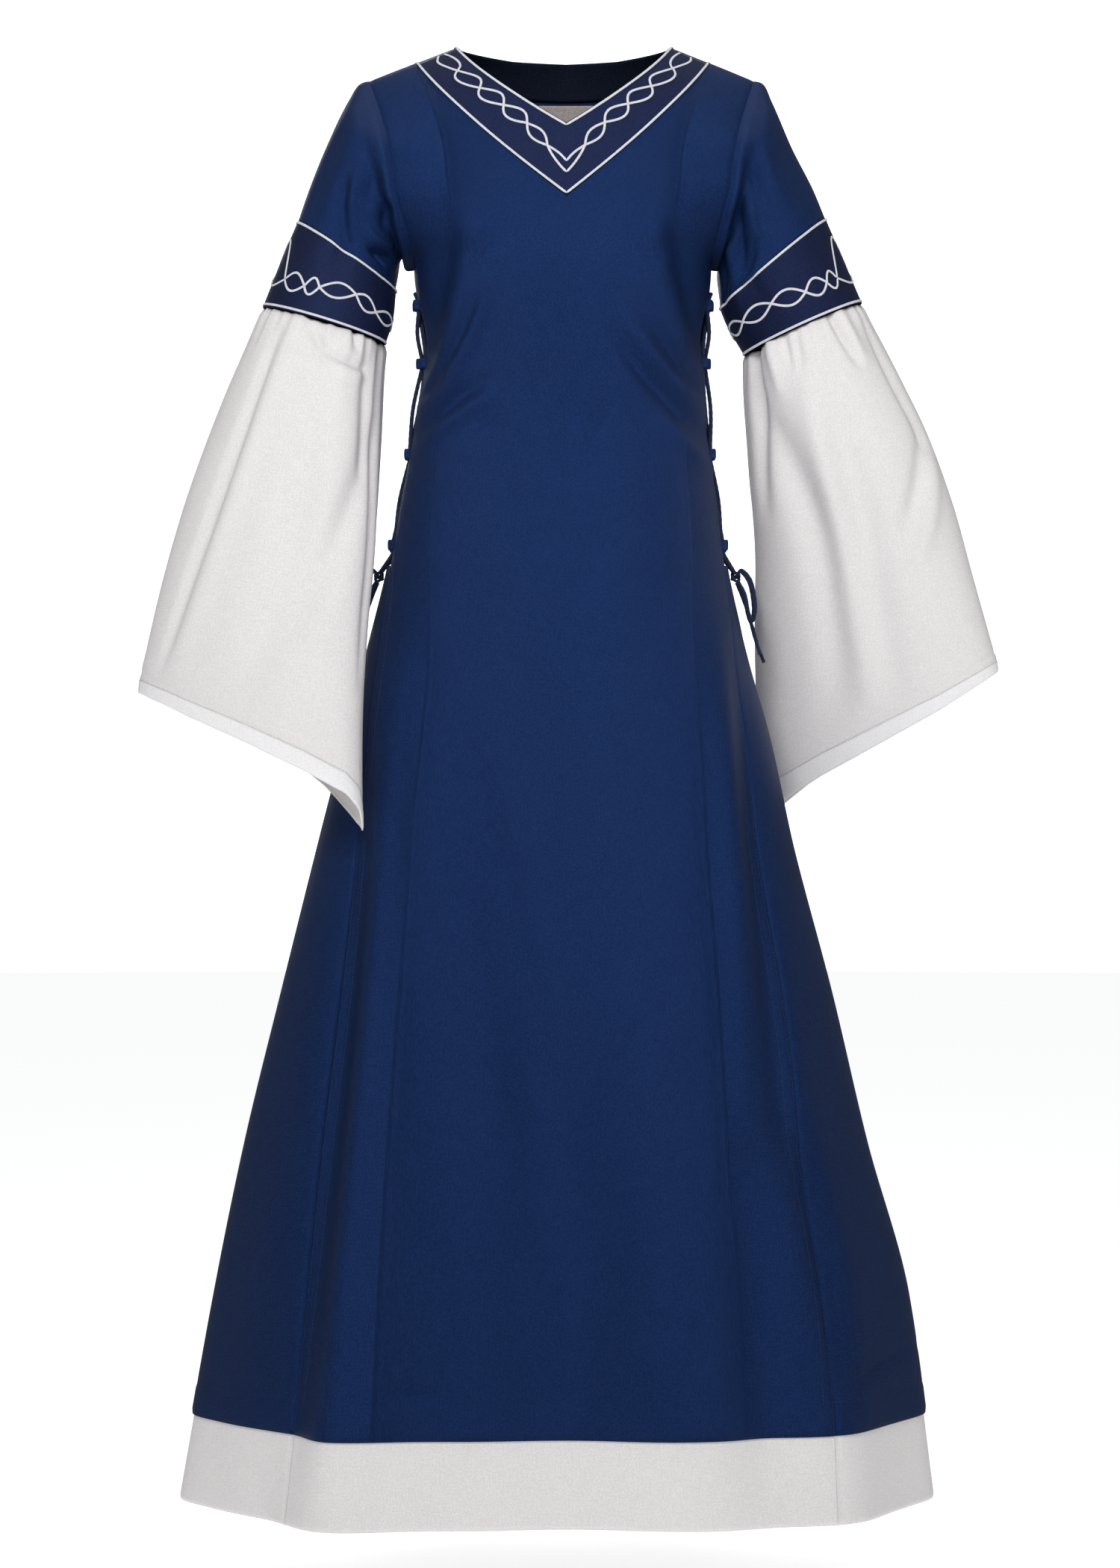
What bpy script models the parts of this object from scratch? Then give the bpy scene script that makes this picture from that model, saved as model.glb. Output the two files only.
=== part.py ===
"""A medieval gown, worn and hollow: blue canvas body laced at both sides, V neck with a dark
band, short blue sleeves ending in dark bands, long flared natural sleeves and a natural hem
band. Metres, +Z up, the front faces -Y. The origin is at shoulder level between the two neck
points. Left and right are the wearer's: the right side is at -X, the left side at +X."""

import math
from collections import namedtuple

import bmesh
import bpy
import numpy as np
from mathutils import Vector

# Driving dimensions
CLOTH_WALL = 0.0018
TAPE_WALL = 0.0010
SEAM_GAP = 0.0003
SHOULDER_SLOPE = 0.391
NECK_HALF = 0.1055
BAND_OUTER_HALF = 0.1455
NECK_V_DEPTH = 0.0894
BAND_V_DEPTH = 0.1623
BACK_NECK_DROP = 0.004
BACK_BAND_DEPTH = 0.043
FACING_SHARE = 0.86
LABEL_HALF = 0.033
LABEL_TOP_Z = -0.0445
LABEL_BOTTOM_Z = -0.0745
SHOULDER_ROUNDING = 0.09
UNDERARM_Z = -0.224
SLIT_TOP_Z = -0.245
GORE_TOP_Z = -0.523
BLUE_HEM_Z = -1.368
HEM_STITCH_Z = -1.337
HEM_Z = -1.452
SECTION_POWER = 2.2
SIDE_SCALE = {-1: 1.025, 1: 0.975}
SIDE_NAMES = {-1: "right", 1: "left"}
FRONT = -1
BACK = 1

BLUE = (0.012, 0.030, 0.105)
NAVY = (0.009, 0.014, 0.050)
NATURAL = (0.78, 0.75, 0.70)
FACING_NAVY = (0.006, 0.009, 0.016)
LABEL_GREY = (0.42, 0.38, 0.37)
LACE_BLUE = (0.009, 0.020, 0.070)


def table(columns, *rows):
    """Named columns of a table whose rows run downwards, turned to run upwards by the first."""
    values = np.array(rows[::-1], float)
    return {name: values[:, i] for i, name in enumerate(columns.split())}


def read(chart, column, height):
    """The column's value at this height, on a smooth curve that never overshoots its rows."""
    x = chart["z"]
    y = chart[column]
    i = int(np.clip(np.searchsorted(x, height) - 1, 0, len(x) - 2))
    slope = np.diff(y) / np.diff(x)
    ends = []
    for k in (i, i + 1):
        if k in (0, len(x) - 1):
            ends.append(slope[min(k, len(slope) - 1)])
        elif slope[k - 1] * slope[k] <= 0:
            ends.append(0.0)
        else:
            ends.append(2 * slope[k - 1] * slope[k] / (slope[k - 1] + slope[k]))
    step = x[i + 1] - x[i]
    t = float(np.clip((height - x[i]) / step, 0, 1))
    rise = y[i + 1] - y[i]
    a = ends[0] * step - rise
    b = rise - ends[1] * step
    return y[i] + t * rise + t * (1 - t) * (a * (1 - t) + b * t)


# The body's sections: half widths at each side and depths to the front and the back
BODY = table(
    "z right left front back",
    (0.050, 0.152, 0.144, 0.060, 0.078),
    (-0.050, 0.152, 0.144, 0.080, 0.090),
    (-0.100, 0.152, 0.144, 0.091, 0.094),
    (-0.160, 0.152, 0.144, 0.105, 0.095),
    (-0.224, 0.152, 0.1445, 0.113, 0.092),
    (-0.300, 0.1445, 0.1392, 0.108, 0.085),
    (-0.380, 0.152, 0.141, 0.102, 0.081),
    (-0.456, 0.166, 0.151, 0.111, 0.091),
    (-0.523, 0.179, 0.161, 0.122, 0.108),
    (-0.600, 0.198, 0.178, 0.134, 0.124),
    (-0.700, 0.223, 0.205, 0.149, 0.141),
    (-0.800, 0.2485, 0.2265, 0.163, 0.156),
    (-0.950, 0.2845, 0.2645, 0.183, 0.176),
    (-1.100, 0.319, 0.298, 0.202, 0.195),
    (-1.250, 0.347, 0.337, 0.221, 0.214),
    (-1.452, 0.379, 0.361, 0.245, 0.236),
)

# The armhole: its distance from the centre line, before the two sides' own scale
ARMHOLE = table(
    "z reach",
    (-0.030, 0.1960),
    (-0.076, 0.1805),
    (-0.118, 0.1707),
    (-0.155, 0.1653),
    (-0.188, 0.1560),
    (-0.2105, 0.1504),
    (-0.224, 0.1482),
)

# The edge of the front and back panels, in degrees round the section from its side
PANEL_EDGE = table(
    "z turn",
    (-0.030, 25.0),
    (-0.076, 36.7),
    (-0.118, 46.0),
    (-0.155, 45.5),
    (-0.188, 34.5),
    (-0.2105, 20.0),
    (-0.224, 0.06),
    (-0.245, 0.06),
    (-0.254, 4.8),
    (-0.300, 5.0),
    (-0.400, 6.2),
    (-0.450, 8.0),
    (-0.523, 12.4),
    (-0.545, 17.0),
    (-0.590, 22.0),
    (-0.644, 26.5),
    (-0.750, 32.0),
    (-0.900, 38.0),
    (-1.100, 43.0),
    (-1.452, 48.0),
)

# The skirt's soft folds: where round the section (0 front, 90 the left side, 180 back),
# how far out at the hem, how wide, and the height where each starts
Fold = namedtuple("Fold", "place depth width start")
FOLDS = (
    Fold(-33, 0.038, 10, -0.62),
    Fold(0, -0.018, 10, -0.70),
    Fold(22, 0.008, 8, -0.80),
    Fold(45, 0.021, 11, -0.62),
    Fold(82, 0.010, 9, -0.80),
    Fold(-80, 0.012, 9, -0.80),
    Fold(122, 0.022, 11, -0.75),
    Fold(150, -0.016, 9, -0.75),
    Fold(172, 0.026, 10, -0.65),
    Fold(-118, 0.018, 10, -0.75),
    Fold(-142, -0.014, 9, -0.80),
    Fold(-163, 0.024, 9, -0.65),
)

# The heights of the rows of points, and how the columns share out a panel and a gore
COLUMN_SHARES = (0, 0.24, 0.46, 0.66, 0.83, 0.95, 1)
EDGE_SPACES = 3
GORE_SPACES = 10
UPPER_SHARES = (0, 0.02, 0.08, 0.18, 0.31, 0.45, 0.59, 0.73, 0.87, 1)
PANEL_HEIGHTS = (SLIT_TOP_Z, -0.254, -0.295, -0.345, -0.395, -0.445, -0.490)
SKIRT_HEIGHTS = (
    GORE_TOP_Z, -0.560, -0.610, -0.670, -0.750, -0.840, -0.940, -1.050, -1.160, -1.260,
    HEM_STITCH_Z, BLUE_HEM_Z,
)
HEM_BAND_HEIGHTS = (HEM_STITCH_Z, BLUE_HEM_Z, -1.410, HEM_Z)


def shoulder_line(reach):
    return -SHOULDER_SLOPE * (reach - NECK_HALF)


def neck_line(face, reach):
    """Height of the neck edge at this distance from the centre."""
    share = max(0.0, 1 - reach / NECK_HALF)
    if face == FRONT:
        return -NECK_V_DEPTH * share**0.70
    return -BACK_NECK_DROP * min(1.0, 2 * share)


def band_line(face, reach):
    """Height of the neck band's outer edge, where the panel begins."""
    start = shoulder_line(BAND_OUTER_HALF)
    share = max(0.0, 1 - reach / BAND_OUTER_HALF)
    if face == FRONT:
        return start - (BAND_V_DEPTH + start) * share**0.78
    return start - (BACK_BAND_DEPTH + start) * (1 - (1 - share) ** 2) ** 0.8


def half_width(side, z):
    if z <= UNDERARM_Z:
        return read(BODY, SIDE_NAMES[side], z)
    edge = math.radians(read(PANEL_EDGE, "turn", z))
    return SIDE_SCALE[side] * read(ARMHOLE, "reach", z) / math.cos(edge) ** (2 / SECTION_POWER)


def body_at_reach(face, x, z, out=0.0):
    """A point on the body above the underarm, from its distance across."""
    side = -1 if x < 0 else 1
    half = half_width(side, z)
    along = min(1.0, abs(x) / half)
    deep = (1 - along**SECTION_POWER) ** (1 / SECTION_POWER)
    return raised(face, x, z, deep, half, out)


def raised(face, x, z, deep, half, out):
    side = -1 if x < 0 else 1
    depth = read(BODY, "front" if face == FRONT else "back", z)
    below = shoulder_line(abs(x) / SIDE_SCALE[side]) - z
    over = 1.0
    if z > UNDERARM_Z:
        over = math.sqrt(max(0.0, 1 - (1 - min(1.0, max(0.0, below) / SHOULDER_ROUNDING)) ** 2))
    y = face * (depth * over * deep + SEAM_GAP / 2)
    point = Vector((x, y, z))
    if out:
        normal = Vector((x / half**2, y / depth**2, 0.0)).normalized()
        point += normal * out
    return point


def fold_depth(face, side, turn, z):
    place = side * (90 + face * turn)
    total = 0.0
    for fold in FOLDS:
        if z >= fold.start:
            continue
        away = (place - fold.place + 180) % 360 - 180
        grown = ((fold.start - z) / (fold.start - HEM_Z)) ** 1.2
        total += fold.depth * grown * math.exp(-((away / fold.width) ** 2))
    return total


def body_point(face, side, turn, z, out=0.0):
    """A point on the body: turn is in degrees round the section, 0 at the side, 90 at the centre."""
    angle = math.radians(turn)
    half = half_width(side, z)
    x = side * half * max(0.0, math.cos(angle)) ** (2 / SECTION_POWER)
    deep = math.sin(angle) ** (2 / SECTION_POWER)
    return raised(face, x, z, deep, half, out + fold_depth(face, side, turn, z))


def make_material(name, colour, roughness):
    material = bpy.data.materials.new(name)
    material.use_nodes = True
    shader = material.node_tree.nodes["Principled BSDF"]
    shader.inputs["Base Color"].default_value = (*colour, 1.0)
    shader.inputs["Roughness"].default_value = roughness
    shader.inputs["Metallic"].default_value = 0.0
    return material


def add_object(name, data, material):
    """Puts mesh or curve data in the gown's collection as a named object."""
    obj = bpy.data.objects.new(name, data)
    gown.objects.link(obj)
    data.materials.append(material)
    return obj


def cloth(name, rows, material, wall=CLOTH_WALL, closed=False, grows_out=True):
    """A wall of cloth from rows of points. The rows run round to their start where closed."""
    mesh = bpy.data.meshes.new(name)
    shape = bmesh.new()
    grid = [[shape.verts.new(point) for point in row] for row in rows]
    across = len(grid[0])
    for upper, lower in zip(grid, grid[1:]):
        for i in range(across if closed else across - 1):
            j = (i + 1) % across
            shape.faces.new((upper[i], lower[i], lower[j], upper[j]))
    shape.normal_update()
    shape.to_mesh(mesh)
    shape.free()
    mesh.shade_smooth()
    obj = add_object(name, mesh, material)
    thicken = obj.modifiers.new("Wall", "SOLIDIFY")
    thicken.thickness = wall
    thicken.offset = 1.0 if grows_out else -1.0
    thicken.use_rim = True
    return obj


def moved_inwards(rows, distance):
    """The rows moved this far towards the body's upright axis, square to their own surface."""
    moved = []
    for i, row in enumerate(rows):
        above, below = rows[max(i - 1, 0)], rows[min(i + 1, len(rows) - 1)]
        new_row = []
        for j, point in enumerate(row):
            across = row[min(j + 1, len(row) - 1)] - row[max(j - 1, 0)]
            normal = across.cross(below[j] - above[j]).normalized()
            if normal.dot(Vector((point.x, point.y, 0.0))) < 0:
                normal = -normal
            new_row.append(point - normal * distance)
        moved.append(new_row)
    return moved


def panel_columns():
    """Shares across a panel from its centre, 0, to its edge, 1, one of them where the band ends."""
    low, high = 0.0, 1.0
    z = shoulder_line(BAND_OUTER_HALF)
    for _ in range(40):
        middle = (low + high) / 2
        if column_reach(middle, z) < BAND_OUTER_HALF:
            low = middle
        else:
            high = middle
    inner = [low * share for share in COLUMN_SHARES]
    outer = [low + (1 - low) * i / EDGE_SPACES for i in range(1, EDGE_SPACES + 1)]
    return inner + outer


def column_turn(share, z):
    return 90 - share * (90 - read(PANEL_EDGE, "turn", z))


def column_reach(share, z):
    angle = math.radians(column_turn(share, z))
    half = half_width(1, z) / SIDE_SCALE[1]
    return half * max(0.0, math.cos(angle)) ** (2 / SECTION_POWER)


def column_top(face, share):
    """Height where a panel's column meets the neck band or the shoulder seam."""
    low, high = -0.20, 0.06
    for _ in range(40):
        z = (low + high) / 2
        reach = column_reach(share, z)
        edge = band_line(face, reach) if reach < BAND_OUTER_HALF else shoulder_line(reach)
        if z < edge:
            low = z
        else:
            high = z
    return low


def panel_rows(face):
    """Rows of a whole panel, shoulder to hem, from the right edge to the left edge."""
    shares = panel_columns()
    columns = [(-1, share) for share in shares[:0:-1]] + [(1, share) for share in shares]
    tops = {share: column_top(face, share) for share in shares}
    rows = []
    for part in UPPER_SHARES:
        row = []
        for side, share in columns:
            z = tops[share] + (UNDERARM_Z - tops[share]) * part
            row.append(body_point(face, side, column_turn(share, z), z))
        rows.append(row)
    for z in PANEL_HEIGHTS + SKIRT_HEIGHTS:
        row = [body_point(face, side, column_turn(share, z), z) for side, share in columns]
        rows.append(row)
    return rows


def facing_out(rows, face):
    """The same rows, ordered so that the cloth's outer side is the body's outer side."""
    return [row[::-1] for row in rows] if face == BACK else rows


def gore_turns(side, z):
    """Turns across a side gore, from the front seam (negative) to the back seam."""
    edge = read(PANEL_EDGE, "turn", z)
    step = (body_point(FRONT, side, edge, z) - body_point(FRONT, side, edge - 0.5, z)).length
    edge -= 0.5 * SEAM_GAP / step
    return [edge * (2 * i / GORE_SPACES - 1) for i in range(GORE_SPACES + 1)]


def gore_rows(side, heights, out=0.0):
    rows = []
    for z in heights:
        row = []
        for turn in gore_turns(side, z):
            face = FRONT if turn < 0 else BACK
            point = body_point(face, side, abs(turn), z, out)
            if abs(turn) < 0.01:
                point.y = 0.0
            row.append(point)
        rows.append(row if side > 0 else row[::-1])
    return rows


def body_panels():
    front = panel_rows(FRONT)
    back = panel_rows(BACK)
    cloth("front_panel", facing_out(front, FRONT), blue)
    cloth("back_panel", facing_out(back, BACK), blue)
    for side, name in SIDE_NAMES.items():
        heights = (GORE_TOP_Z - SEAM_GAP,) + SKIRT_HEIGHTS[1:]
        cloth(f"side_gore_{name}", gore_rows(side, heights), blue)
    return front, back


def hem_bands():
    """The natural band, sewn inside the blue hem and hanging below it."""
    inside = -(CLOTH_WALL + 2 * SEAM_GAP)
    shares = panel_columns()
    columns = [(-1, share) for share in shares[:0:-1]] + [(1, share) for share in shares]
    for face, name in ((FRONT, "front"), (BACK, "back")):
        rows = [
            [body_point(face, side, column_turn(share, z), z, inside) for side, share in columns]
            for z in HEM_BAND_HEIGHTS
        ]
        cloth(f"hem_band_{name}", facing_out(rows, face), natural)
    for side, name in SIDE_NAMES.items():
        cloth(f"hem_band_{name}_gore", gore_rows(side, HEM_BAND_HEIGHTS, inside), natural)


def band_pairs(face, panel_top):
    """Points on the neck edge, each with its point on the band's outer edge."""
    reached = len(COLUMN_SHARES) - 1
    middle = len(panel_top) // 2
    pairs = []
    for point in panel_top[middle - reached : middle + reached + 1]:
        side = -1 if point.x < 0 else 1
        share = abs(point.x) / (SIDE_SCALE[side] * BAND_OUTER_HALF)
        reach = NECK_HALF * min(1.0, share)
        edge = body_at_reach(face, side * SIDE_SCALE[side] * reach, neck_line(face, reach))
        pairs.append((edge, point))
    return pairs


def band_rows(face, pairs):
    rows = []
    for part in (0.0, 0.5):
        row = []
        for edge, outer in pairs:
            x = edge.x + (outer.x - edge.x) * part
            z = edge.z + (outer.z - edge.z) * part
            row.append(body_at_reach(face, x, z))
        rows.append(row)
    last = []
    for edge, outer in pairs:
        spread = (abs(outer.x) / BAND_OUTER_HALF) ** 2
        last.append(outer + (edge - outer).normalized() * SEAM_GAP * (1 + 4 * spread))
    rows.append(last)
    return rows


def neck_pieces(front, back):
    front_pairs = band_pairs(FRONT, front[0])
    back_pairs = band_pairs(BACK, back[0])
    cloth("neck_band_front", band_rows(FRONT, front_pairs), navy)
    rows = band_rows(BACK, back_pairs)
    cloth("neck_band_back", facing_out(rows, BACK), navy)
    rows[2] = [a.lerp(b, FACING_SHARE) for a, b in zip(rows[1], rows[2])]
    moved = [row[1:-1] for row in moved_inwards(rows, 2 * SEAM_GAP)]
    cloth("back_neck_facing", facing_out(moved, BACK), facing_navy, TAPE_WALL, grows_out=False)
    inside = Vector((0, -(TAPE_WALL + 4 * SEAM_GAP), 0))
    label_rows = [
        [body_at_reach(BACK, LABEL_HALF * i / 2, z) + inside for i in range(-2, 3)]
        for z in (LABEL_TOP_Z, LABEL_BOTTOM_Z)
    ]
    cloth("neck_label", facing_out(label_rows, BACK), label_grey, TAPE_WALL)


# The sleeves' rings from the armhole down: the outer and the inner point of each, seen from
# the front, and half its depth from front to back
Ring = namedtuple("Ring", "outer_x outer_y outer_z inner_x inner_y inner_z half_depth")
UPPER_RINGS = {
    -1: (
        (-0.2190, 0.000, -0.0560, -0.1640, 0.000, -0.2120, 0.067),
        (-0.2410, 0.000, -0.1023, -0.1700, -0.003, -0.2190, 0.064),
        (-0.2572, -0.004, -0.1440, -0.1722, -0.006, -0.2310, 0.060),
        (-0.2682, -0.008, -0.1773, -0.1728, -0.010, -0.2451, 0.058),
    ),
    1: (
        (0.2060, 0.000, -0.0560, 0.1530, 0.000, -0.2160, 0.067),
        (0.2259, 0.000, -0.1023, 0.1540, 0.000, -0.2290, 0.064),
        (0.2470, 0.000, -0.1440, 0.1555, 0.000, -0.2450, 0.060),
        (0.2590, 0.000, -0.1730, 0.1560, 0.000, -0.2617, 0.058),
    ),
}
BAND_RINGS = {
    -1: (
        (-0.2858, -0.014, -0.2207, -0.1756, -0.018, -0.2757, 0.059),
        (-0.3027, -0.018, -0.2647, -0.1828, -0.028, -0.3012, 0.060),
    ),
    1: (
        (0.2780, 0.002, -0.2162, 0.1637, 0.004, -0.2793, 0.059),
        (0.2962, 0.004, -0.2581, 0.1812, 0.010, -0.3082, 0.060),
    ),
}
LOWER_RINGS = {
    -1: (
        (-0.3218, -0.020, -0.3079, -0.1853, -0.038, -0.3462, 0.064),
        (-0.3380, -0.023, -0.3455, -0.1864, -0.048, -0.3880, 0.065),
        (-0.3528, -0.026, -0.3831, -0.1875, -0.060, -0.4297, 0.064),
        (-0.3792, -0.032, -0.4581, -0.1903, -0.080, -0.5125, 0.061),
        (-0.4004, -0.038, -0.5329, -0.1967, -0.100, -0.5944, 0.057),
        (-0.4177, -0.042, -0.6075, -0.2004, -0.122, -0.6901, 0.052),
        (-0.4230, -0.044, -0.6320, -0.2000, -0.134, -0.7420, 0.050),
        (-0.4252, -0.045, -0.6514, -0.1992, -0.142, -0.7867, 0.048),
    ),
    1: (
        (0.3214, 0.008, -0.3043, 0.1822, 0.018, -0.3490, 0.064),
        (0.3410, 0.011, -0.3420, 0.1850, 0.026, -0.3900, 0.065),
        (0.3596, 0.014, -0.3792, 0.1875, 0.036, -0.4309, 0.064),
        (0.3885, 0.018, -0.4545, 0.1935, 0.054, -0.5058, 0.061),
        (0.4099, 0.020, -0.5299, 0.1940, 0.074, -0.5887, 0.057),
        (0.4297, 0.022, -0.6000, 0.1975, 0.098, -0.6877, 0.052),
        (0.4340, 0.022, -0.6150, 0.2000, 0.110, -0.7400, 0.050),
        (0.4358, 0.022, -0.6280, 0.2043, 0.118, -0.7798, 0.048),
    ),
}

# Pleats of the lower sleeve where it is gathered to its band: the place round the ring in
# degrees from its outer side towards the front, depth, width, and the ring where each ends
Pleat = namedtuple("Pleat", "place depth width end")
PLEATS = (
    Pleat(20, 0.004, 9, 5),
    Pleat(48, -0.003, 8, 4),
    Pleat(72, 0.003, 9, 3),
    Pleat(110, -0.005, 10, 6),
    Pleat(140, 0.006, 10, 7),
    Pleat(165, -0.005, 9, 5),
    Pleat(205, 0.005, 10, 5),
    Pleat(235, -0.005, 10, 6),
    Pleat(265, 0.005, 10, 5),
    Pleat(298, -0.004, 9, 6),
    Pleat(330, 0.004, 9, 5),
)
BAND_SIDES = 24
LOWER_SIDES = 28
HEAD_STEP = 0.0055
GATHER_STEP = 0.004


def ring_points(row, angles):
    """An oval ring. Angle 0 is at its outer point, 90 at the front, 180 at its inner point."""
    ring = Ring(*row)
    outer = Vector((ring.outer_x, ring.outer_y, ring.outer_z))
    inner = Vector((ring.inner_x, ring.inner_y, ring.inner_z))
    centre = (outer + inner) / 2
    reach = outer - centre
    across = Vector((0, -ring.half_depth, 0))
    return [centre + reach * math.cos(a) + across * math.sin(a) for a in angles]


def armhole_ring(front, back, side, away):
    """The armhole's edge, moved this far away from the panels along their surface."""
    count = len(UPPER_SHARES)
    edge, next_in = (0, 1) if side < 0 else (-1, -2)

    def moved(rows, k):
        here = rows[k][edge]
        along = rows[min(k + 1, count - 1)][edge] - rows[max(k - 1, 0)][edge]
        inward = rows[k][next_in] - here
        normal = along.cross(inward)
        outward = normal.cross(along).normalized()
        if outward.dot(inward) > 0:
            outward = -outward
        return here, outward

    def reach(share):
        return away + 2 * SEAM_GAP * share

    ring, turns = [], []
    top, bottom = front[0][edge].z, front[count - 1][edge].z
    for k in range(count):
        here, outward = moved(front, k)
        if k in (0, count - 1):
            behind, outward_behind = moved(back, k)
            here = (here + behind) / 2
            outward = Vector((0, 0, 1)) if k else (outward + outward_behind).normalized()
        share = (top - here.z) / (top - bottom)
        ring.append(here + outward * reach(share))
        turns.append(math.acos(max(-1.0, min(1.0, 1 - 2 * share))))
    for k in range(count - 2, 0, -1):
        here, outward = moved(back, k)
        ring.append(here + outward * reach((top - here.z) / (top - bottom)))
        turns.append(2 * math.pi - turns[k])
    return ring, turns


def continued(before, last, distance):
    """A ring this far past the last one, in the direction it came."""
    return [b + (b - a).normalized() * distance for a, b in zip(before, last)]


def tube(name, rings, side, material):
    rows = rings if side < 0 else [ring[::-1] for ring in rings]
    return cloth(name, rows, material, closed=True)


def pleated(points, angles, index):
    """The ring's points pushed in and out by the pleats, which fade towards the hem."""
    centre = (points[0] + points[len(points) // 2]) / 2
    result = []
    for point, angle in zip(points, angles):
        push = 0.0
        for pleat in PLEATS:
            away = (math.degrees(angle) - pleat.place + 180) % 360 - 180
            fade = max(0.0, 1 - index / pleat.end) if index else 0.5
            push += pleat.depth * fade * math.exp(-((away / pleat.width) ** 2))
        result.append(point + (point - centre).normalized() * push)
    return result


def sleeves(front, back):
    even = [2 * math.pi * i / BAND_SIDES for i in range(BAND_SIDES)]
    fine = [2 * math.pi * i / LOWER_SIDES for i in range(LOWER_SIDES)]
    for side, name in SIDE_NAMES.items():
        first, turns = armhole_ring(front, back, side, SEAM_GAP)
        second, _ = armhole_ring(front, back, side, HEAD_STEP)
        rings = [first, second] + [ring_points(ring, turns) for ring in UPPER_RINGS[side]]
        tube(f"upper_sleeve_{name}", rings, side, blue)

        top = UPPER_RINGS[side][-1]
        above = ring_points(UPPER_RINGS[side][-2], even)
        seam = ring_points(top, even)
        started = continued(above, seam, 2 * SEAM_GAP)
        rings = [started] + [ring_points(ring, even) for ring in BAND_RINGS[side]]
        tube(f"sleeve_band_{name}", rings, side, navy)

        before = ring_points(BAND_RINGS[side][0], fine)
        last = ring_points(BAND_RINGS[side][1], fine)
        rings = [continued(before, last, SEAM_GAP), continued(before, last, GATHER_STEP)]
        for index, ring in enumerate(LOWER_RINGS[side]):
            rings.append(pleated(ring_points(ring, fine), fine, index))
        tube(f"lower_sleeve_{name}", rings, side, natural)


# The lacing at each side: tape loops along the slit, the lace through them, and its bow
LOOP_HEIGHTS = (-0.260, -0.318, -0.410, -0.502)
LOOP_HIGH = 0.0105
LOOP_OUT = 0.0050
LOOP_ACROSS = 0.0031
LOOP_CLEAR = 0.0004
LOOP_SEAT = 0.0022
LOOP_SIDES = 10
LOOP_REACH = 0.45
LACE_RADIUS = 0.0017
LACE_BULGE = 0.0050
LACE_CROSSING = 0.0026
LACE_DROP = 0.0060
LACE_DROP_OUT = 0.0020
LACE_TOP_RISE = 0.0070
LACE_TOP_OUT = 0.0034
LACE_POINTS = 64
BOW_POINTS = 15
TAIL_POINTS = 12
KNOT_Z = -0.533
KNOT_OUT = 0.0075
KNOT_RADII = (0.0050, 0.0060, 0.0065)

# Where each strand enters the knot, each bow loop's route and the two free ends' routes, from
# the knot's centre: outward, across towards the back, and up. A bow loop's across is mirrored.
KNOT_ENTRY = (-0.0010, 0.0062, 0.0062)
BOW_ROUTE = (
    (0.0010, 0.0068, 0.0010),
    (0.0060, 0.0150, 0.0060),
    (0.0150, 0.0215, -0.0060),
    (0.0190, 0.0235, -0.0300),
    (0.0165, 0.0190, -0.0450),
    (0.0125, 0.0145, -0.0360),
    (0.0090, 0.0120, -0.0180),
    (0.0020, 0.0076, -0.0040),
)
TAIL_ROUTES = {
    "front": (
        (0.0010, -0.0022, -0.0067),
        (0.0075, -0.0040, -0.0200),
        (0.0130, -0.0052, -0.0380),
        (0.0190, -0.0045, -0.0580),
        (0.0240, -0.0060, -0.0780),
    ),
    "back": (
        (0.0010, 0.0025, -0.0067),
        (0.0070, 0.0050, -0.0200),
        (0.0140, 0.0056, -0.0400),
        (0.0200, 0.0070, -0.0620),
        (0.0290, 0.0060, -0.0860),
    ),
}


def loop_centre(side, face, z):
    edge = body_point(face, side, read(PANEL_EDGE, "turn", z), z)
    lateral = LOOP_ACROSS + TAPE_WALL + LOOP_CLEAR
    return edge + Vector((side * LOOP_SEAT, -face * lateral, 0))


def lacing_loop(name, side, face, z):
    """A narrow oval of folded tape, through which the lace runs up and down."""
    centre = loop_centre(side, face, z)
    rows = []
    for height in (LOOP_HIGH / 2, -LOOP_HIGH / 2):
        row = []
        for i in range(LOOP_SIDES):
            angle = 2 * math.pi * i / LOOP_SIDES
            across = Vector((LOOP_OUT * math.cos(angle), -LOOP_ACROSS * math.sin(angle), height))
            row.append(centre + across)
        rows.append(row)
    return cloth(name, [row[::-1] for row in rows], lace_blue, TAPE_WALL, closed=True)


def smooth_path(points, count):
    """Evenly spaced points on a smooth curve through the given points."""
    given = [Vector(point) for point in points]
    ends = [given[0] * 2 - given[1]] + given + [given[-1] * 2 - given[-2]]
    dense = []
    for a, b, c, d in zip(ends, ends[1:], ends[2:], ends[3:]):
        for step in range(12):
            t = step / 12
            dense.append(
                0.5 * (2 * b + (c - a) * t + (2 * a - 5 * b + 4 * c - d) * t**2)
                + 0.5 * (3 * b - a - 3 * c + d) * t**3
            )
    dense.append(given[-1])
    lengths = np.cumsum([0.0] + [(q - p).length for p, q in zip(dense, dense[1:])])
    path = []
    for target in np.linspace(0, lengths[-1], count):
        i = int(np.clip(np.searchsorted(lengths, target) - 1, 0, len(dense) - 2))
        share = (target - lengths[i]) / (lengths[i + 1] - lengths[i])
        path.append(dense[i].lerp(dense[i + 1], float(share)))
    return path


def lace_tube(name, points, count, radius=LACE_RADIUS):
    curve = bpy.data.curves.new(name, "CURVE")
    curve.dimensions = "3D"
    curve.bevel_depth = radius
    curve.bevel_resolution = 2
    curve.use_fill_caps = True
    spline = curve.splines.new("POLY")
    path = smooth_path(points, count)
    spline.points.add(len(path) - 1)
    for target, point in zip(spline.points, path):
        target.co = (*point, 1.0)
    return add_object(name, curve, lace_blue)


def knot_centre(side):
    surface = body_point(FRONT, side, 0.0, KNOT_Z)
    return Vector((surface.x + side * KNOT_OUT, 0.0, KNOT_Z))


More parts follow.
